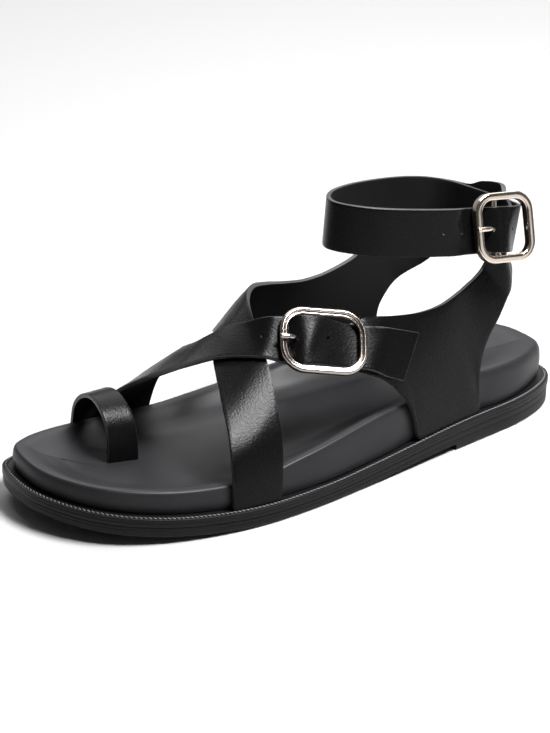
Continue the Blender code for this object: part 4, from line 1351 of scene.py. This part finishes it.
def frame_path(buckle):
    """Outer edge of a buckle's frame, with the way out at each point."""
    path = []
    length, width, corner = buckle["length"], buckle["width"], buckle["corner"]
    for quarter, (sx, sy) in enumerate(((1, 1), (-1, 1), (-1, -1), (1, -1))):
        for step in range(CORNER_STEPS + 1):
            turn = math.radians(90.0 * (quarter + step / CORNER_STEPS))
            out = Vector((math.cos(turn), math.sin(turn), 0.0))
            centre = Vector((sx * (length / 2 - corner), sy * (width / 2 - corner), 0.0))
            path.append((centre + out * corner, out))
    return path


def make_frame(name, buckle, section, place, key):
    """Cast frame: a torus drawn out to the frame's outline and section, with its middle bar."""
    path = frame_path(buckle)
    bottom = frame_bottom(buckle)
    ring = add(bpy.ops.mesh.primitive_torus_add, major_segments=len(path),
               minor_segments=len(section), major_radius=0.015, minor_radius=0.002)
    points = [from_local(edge - out * inward + Vector((0.0, 0.0, bottom + up)), place)
              for edge, out in path for inward, up in section]
    for vertex, point in zip(ring.data.vertices, points):
        vertex.co = to_frame(point)
    weld(ring, closed_body=True)
    reach = buckle["width"] / 2 - buckle["face"] / 2
    bar_x, bar_z = buckle["bar_place"], buckle["bar_height"]
    line = [from_local((bar_x, side * reach, bar_z), place) for side in (-1, -0.5, 0, 0.5, 1)]
    bar = make_rod("bar", line, [buckle["bar_radius"]] * len(line))
    piece = join([ring, bar])
    rename(piece, name)
    set_finishes(piece, key)
    shade(piece, 50.0)
    return piece


def make_rod(name, points, radii):
    """Round rod through points, closed with domed ends."""
    first, last = Vector(points[0]), Vector(points[-1])
    path = [first] + [Vector(point) for point in points] + [last]
    sizes = [0.0] + list(radii) + [0.0]
    rows = []
    across = None
    end = len(path) - 1
    for i, (point, radius) in enumerate(zip(path, sizes)):
        along = (path[min(max(i, 1) + 1, end)] - path[max(min(i, end - 1) - 1, 0)]).normalized()
        if across is None:
            across = along.orthogonal().normalized()
        across = (across - along * across.dot(along)).normalized()
        other = along.cross(across)
        rows.append([point + (across * math.cos(turn) + other * math.sin(turn)) * radius
                     for turn in (2.0 * math.pi * k / ROD_SIDES for k in range(ROD_SIDES))])
    piece = shape_grid(name, wrap(rows))
    weld(piece, closed_body=True)
    return piece


def make_prong(name, buckle, place, key):
    """Prong from the middle bar up through the strap's hole, its tip on the end bar."""
    start, end = prong_root(buckle), -end_bar(buckle)
    low = buckle["bar_height"]
    over = frame_bottom(buckle) + buckle["thick"] + GAP + PRONG_RADIUS
    route = [(blend(start, end, share), 0.0, blend(low, over, rise))
             for share, rise in PRONG_ROUTE]
    route += [(end - past, 0.0, over - down) for past, down in PRONG_TIP]
    route = through(route, PRONG_STEPS)
    last = len(route) - 1
    radii = []
    for i in range(len(route)):
        back = 1.0 - min((last - i) / last / PRONG_POINT, 1.0)
        radii.append(PRONG_RADIUS * math.sqrt(max(1.0 - back ** 2, PRONG_BLUNT)))
    piece = make_rod(name, [from_local(point, place) for point in route], radii)
    set_finishes(piece, key)
    shade(piece, 60.0)
    return piece


# ---- stage -------------------------------------------------------------------
CAMERA_AZIMUTH = 141.5       # degrees round the shoe
CAMERA_ELEVATION = 23.74
CAMERA_ROLL = 1.82
CAMERA_DISTANCE = 1.2718     # metres
CAMERA_LENS = 149.6          # millimetres on a 36 mm sensor
CAMERA_AIM = (131.0, 0.0, 40.0)
CAMERA_SIDESTEP = (-11.0, -0.1)      # of the aim, to the right and up in the view
SOFTBOXES = (                # setting of its brightness, name, direction, distance, size
    ("key", "overhead_softbox", (-0.21, 0.37, 0.905), 1.1, (0.44, 0.38)),
    ("rear", "rear_softbox", (-0.36, -0.54, 0.76), 1.2, (1.3, 1.0)),
    ("side", "side_softbox", (-0.37, 0.92, 0.17), 1.2, (0.5, 0.3)),
)
SOFTBOX_AIM = (0.0, 0.0, 0.04)
ROOM_TURN = (-0.3, 0.9)      # cosines of the turn from the view between which it brightens
ROOM_FRONT = 0.15            # brightness of its front, as a share of its back's
FLOOR_SIZE = 12.0


def view_axes():
    """Right, up and back of the camera."""
    turn, rise = math.radians(CAMERA_AZIMUTH), math.radians(CAMERA_ELEVATION)
    back = Vector((math.sin(turn) * math.cos(rise), -math.cos(turn) * math.cos(rise),
                   math.sin(rise)))
    right = Vector((0.0, 0.0, 1.0)).cross(back).normalized()
    up = back.cross(right)
    roll = math.radians(CAMERA_ROLL)
    return (right * math.cos(roll) + up * math.sin(roll),
            up * math.cos(roll) - right * math.sin(roll), back)


def add_camera():
    right, up, back = view_axes()
    aim = to_frame(CAMERA_AIM) + (right * CAMERA_SIDESTEP[0] + up * CAMERA_SIDESTEP[1]) * MM
    camera = add(bpy.ops.object.camera_add, location=aim + back * CAMERA_DISTANCE,
                 rotation=Matrix((right, up, back)).transposed().to_euler())
    camera.name = "three_quarter_camera"
    camera.data.lens = CAMERA_LENS
    camera.data.sensor_width = 36.0
    camera.data.sensor_fit = "AUTO"
    camera.data.clip_start = 0.05
    camera.data.clip_end = 50.0
    bpy.context.scene.camera = camera


def add_softbox(name, towards, distance, size, radiance):
    """Rectangular area light of a given brightness, aimed at the shoe from a direction."""
    towards = Vector(towards).normalized()
    light = add(bpy.ops.object.light_add, type="AREA",
                location=Vector(SOFTBOX_AIM) + towards * distance,
                rotation=towards.to_track_quat("Z", "Y").to_euler())
    light.name = name
    light.data.shape = "RECTANGLE"
    light.data.size, light.data.size_y = size
    light.data.energy = radiance * math.pi * size[0] * size[1]


def add_world():
    """Soft studio room: bright behind and over the shoe, dim on the side it is seen from."""
    world = bpy.data.worlds.new("soft_studio")
    world.use_nodes = True
    bpy.context.scene.world = world
    tree = world.node_tree
    place = add_node(tree, "ShaderNodeTexCoord", {}).outputs["Generated"]
    _, _, back = view_axes()
    facing = add_node(tree, "ShaderNodeVectorMath", {0: place, 1: (-back.x, -back.y, 0.0)},
                      operation="DOT_PRODUCT")
    room = bpy.context.scene.sandal_stage.room
    level = add_node(tree, "ShaderNodeMapRange", {
        "Value": facing.outputs["Value"], "From Min": ROOM_TURN[0], "From Max": ROOM_TURN[1],
        "To Min": ROOM_FRONT * room, "To Max": room})
    tree.links.new(level.outputs["Result"], tree.nodes["Background"].inputs["Strength"])
    tree.nodes["Background"].inputs["Color"].default_value = (1.0, 1.0, 1.0, 1.0)


def add_floor():
    floor = add(bpy.ops.mesh.primitive_plane_add, size=FLOOR_SIZE)
    floor.name = "studio_floor"
    set_finishes(floor, "paper")


# ---- add-on ------------------------------------------------------------------
def colour_setting(name, code, description):
    return bpy.props.FloatVectorProperty(name=name, description=description, subtype="COLOR",
                                         size=3, min=0.0, max=1.0, default=linear(code))


def length_setting(name, millimetres, description):
    return bpy.props.FloatProperty(name=name, description=description, unit="LENGTH",
                                   min=0.0, precision=5, default=millimetres * MM)


def brightness_setting(name, value, description):
    return bpy.props.FloatProperty(name=name, description=description, min=0.0, default=value)


class SandalColours(bpy.types.PropertyGroup):
    leather: colour_setting("Leather", "#09090a", "Dye of the straps' leather")
    lining: colour_setting("Lining", "#0e0e0e", "Colour of the straps' backing")
    # Edge colour: lighter than the leather partly as the paint's own colour, partly as painted
    # highlight along the cut edges
    edge: colour_setting("Edge paint", "#363638", "Colour of the straps' cut edges")
    footbed: colour_setting("Footbed", "#222224", "Dye of the footbed's leather")
    rubber: colour_setting("Rubber", "#101010", "Colour of the outsole and welt")
    thread: colour_setting("Rope stitch", "#4c4c50", "Colour of the welt's rope stitch")
    instep_metal: colour_setting("Instep buckle", "#aaa19b", "Plating of the instep buckle")
    ankle_metal: colour_setting("Ankle buckle", "#e6d8cb", "Plating of the ankle buckle")
    paper: colour_setting("Floor", "#b2b2b2", "Colour of the studio floor")


class SandalSizes(bpy.types.PropertyGroup):
    strap: length_setting("Strap", STRAP, "Thickness of the straps")
    edge_round: length_setting("Edge rounding", 0.42, "Radius of the straps' edges")
    hole: length_setting("Hole radius", 0.85, "Radius of the punched holes")
    rope_pitch: length_setting("Rope pitch", 1.9, "Length of one twist of the rope stitch")


class SandalStage(bpy.types.PropertyGroup):
    key: brightness_setting("Softbox", 62.0, "Brightness of the softbox over the shoe")
    room: brightness_setting("Room", 0.4, "Brightness of the room behind the shoe")
    rear: brightness_setting("Rear softbox", 2.8, "Brightness of the softbox behind the shoe")
    side: brightness_setting("Side softbox", 1.0,
                             "Brightness of the low softbox that the buckles mirror")


class SANDAL_OT_stage(bpy.types.Operator):
    """Set up the floor, the studio lights and the camera"""

    bl_idname = "sandal.stage"
    bl_label = "Stage"

    def execute(self, context):
        context.scene.view_settings.view_transform = "Standard"
        add_camera()
        add_world()
        for setting, *softbox in SOFTBOXES:
            add_softbox(*softbox, getattr(context.scene.sandal_stage, setting))
        add_floor()
        return {"FINISHED"}


class SANDAL_OT_outsole(bpy.types.Operator):
    """Make the rubber outsole with its low heel and ribbed tread"""

    bl_idname = "sandal.outsole"
    bl_label = "Outsole"

    def execute(self, context):
        settle(make_outsole(), "moulded_rubber", "outsole")
        return {"FINISHED"}


class SANDAL_OT_welt(bpy.types.Operator):
    """Make the welt and the rope stitch in its channel"""

    bl_idname = "sandal.welt"
    bl_label = "Welt"

    def execute(self, context):
        settle(make_welt(), "welt_board", "welt")
        settle(make_rope_stitch(), "welt_board")
        return {"FINISHED"}


class SANDAL_OT_footbed(bpy.types.Operator):
    """Make the contoured footbed with its leather cover"""

    bl_idname = "sandal.footbed"
    bl_label = "Footbed"

    def execute(self, context):
        piece = make_footbed()
        settle(piece, "footbed_leather", "footbed")
        return {"FINISHED"}


class SANDAL_OT_upper(bpy.types.Operator):
    """Make the crossed straps, quarters, back stay and toe loop"""

    bl_idname = "sandal.upper"
    bl_label = "Upper"

    def execute(self, context):
        settle(make_cross_band(), "smooth_leather", "upper")
        settle(make_instep_strap(), "smooth_leather")
        settle(make_toe_loop(), "smooth_leather")
        return {"FINISHED"}


class SANDAL_OT_ankle_strap(bpy.types.Operator):
    """Make the ankle strap with its punched holes"""

    bl_idname = "sandal.ankle_strap"
    bl_label = "Ankle strap"

    def execute(self, context):
        settle(make_ankle_strap(), "smooth_leather", "ankle_strap")
        return {"FINISHED"}


class SANDAL_OT_buckles(bpy.types.Operator):
    """Make both buckles: cast frames with their middle bars, and the prongs"""

    bl_idname = "sandal.buckles"
    bl_label = "Buckles"

    def execute(self, context):
        for name, buckle, section, place, key in (
                ("instep_buckle", INSTEP_BUCKLE, INSTEP_SECTION, instep_buckle_place(),
                 "instep_metal"),
                ("ankle_buckle", ANKLE_BUCKLE, ANKLE_SECTION, ankle_buckle_place(),
                 "ankle_metal")):
            cast = make_frame(name + "_cast", buckle, section, place, key)
            settle(cast, "plated_buckle", name + "_frame")
            prong = make_prong(name + "_pin", buckle, place, key)
            settle(prong, "plated_buckle", name + "_prong")
        return {"FINISHED"}


OPERATORS = (SANDAL_OT_stage, SANDAL_OT_outsole, SANDAL_OT_welt, SANDAL_OT_footbed,
             SANDAL_OT_upper, SANDAL_OT_ankle_strap, SANDAL_OT_buckles)


class SANDAL_PT_sidebar(bpy.types.Panel):
    """Lists the sandal's pieces"""

    bl_label = "Strap sandal"
    bl_idname = "SANDAL_PT_sidebar"
    bl_space_type = "VIEW_3D"
    bl_region_type = "UI"
    bl_category = "Sandal"

    def draw(self, context):
        layout = self.layout
        for group in SETTINGS:
            settings = getattr(context.scene, group)
            for name in settings.__annotations__:
                layout.prop(settings, name)
        for operator in OPERATORS:
            layout.operator(operator.bl_idname)


SETTINGS = {"sandal_colours": SandalColours, "sandal_sizes": SandalSizes,
            "sandal_stage": SandalStage}
CLASSES = tuple(SETTINGS.values()) + OPERATORS + (SANDAL_PT_sidebar,)


def register():
    for cls in CLASSES:
        bpy.utils.register_class(cls)
    for name, group in SETTINGS.items():
        setattr(bpy.types.Scene, name, bpy.props.PointerProperty(type=group))


def unregister():
    for name in SETTINGS:
        delattr(bpy.types.Scene, name)
    for cls in reversed(CLASSES):
        bpy.utils.unregister_class(cls)


def main():
    register()
    bpy.ops.sandal.stage()
    bpy.ops.sandal.outsole()
    bpy.ops.sandal.welt()
    bpy.ops.sandal.footbed()
    bpy.ops.sandal.upper()
    bpy.ops.sandal.ankle_strap()
    bpy.ops.sandal.buckles()


if __name__ == "__main__":
    main()
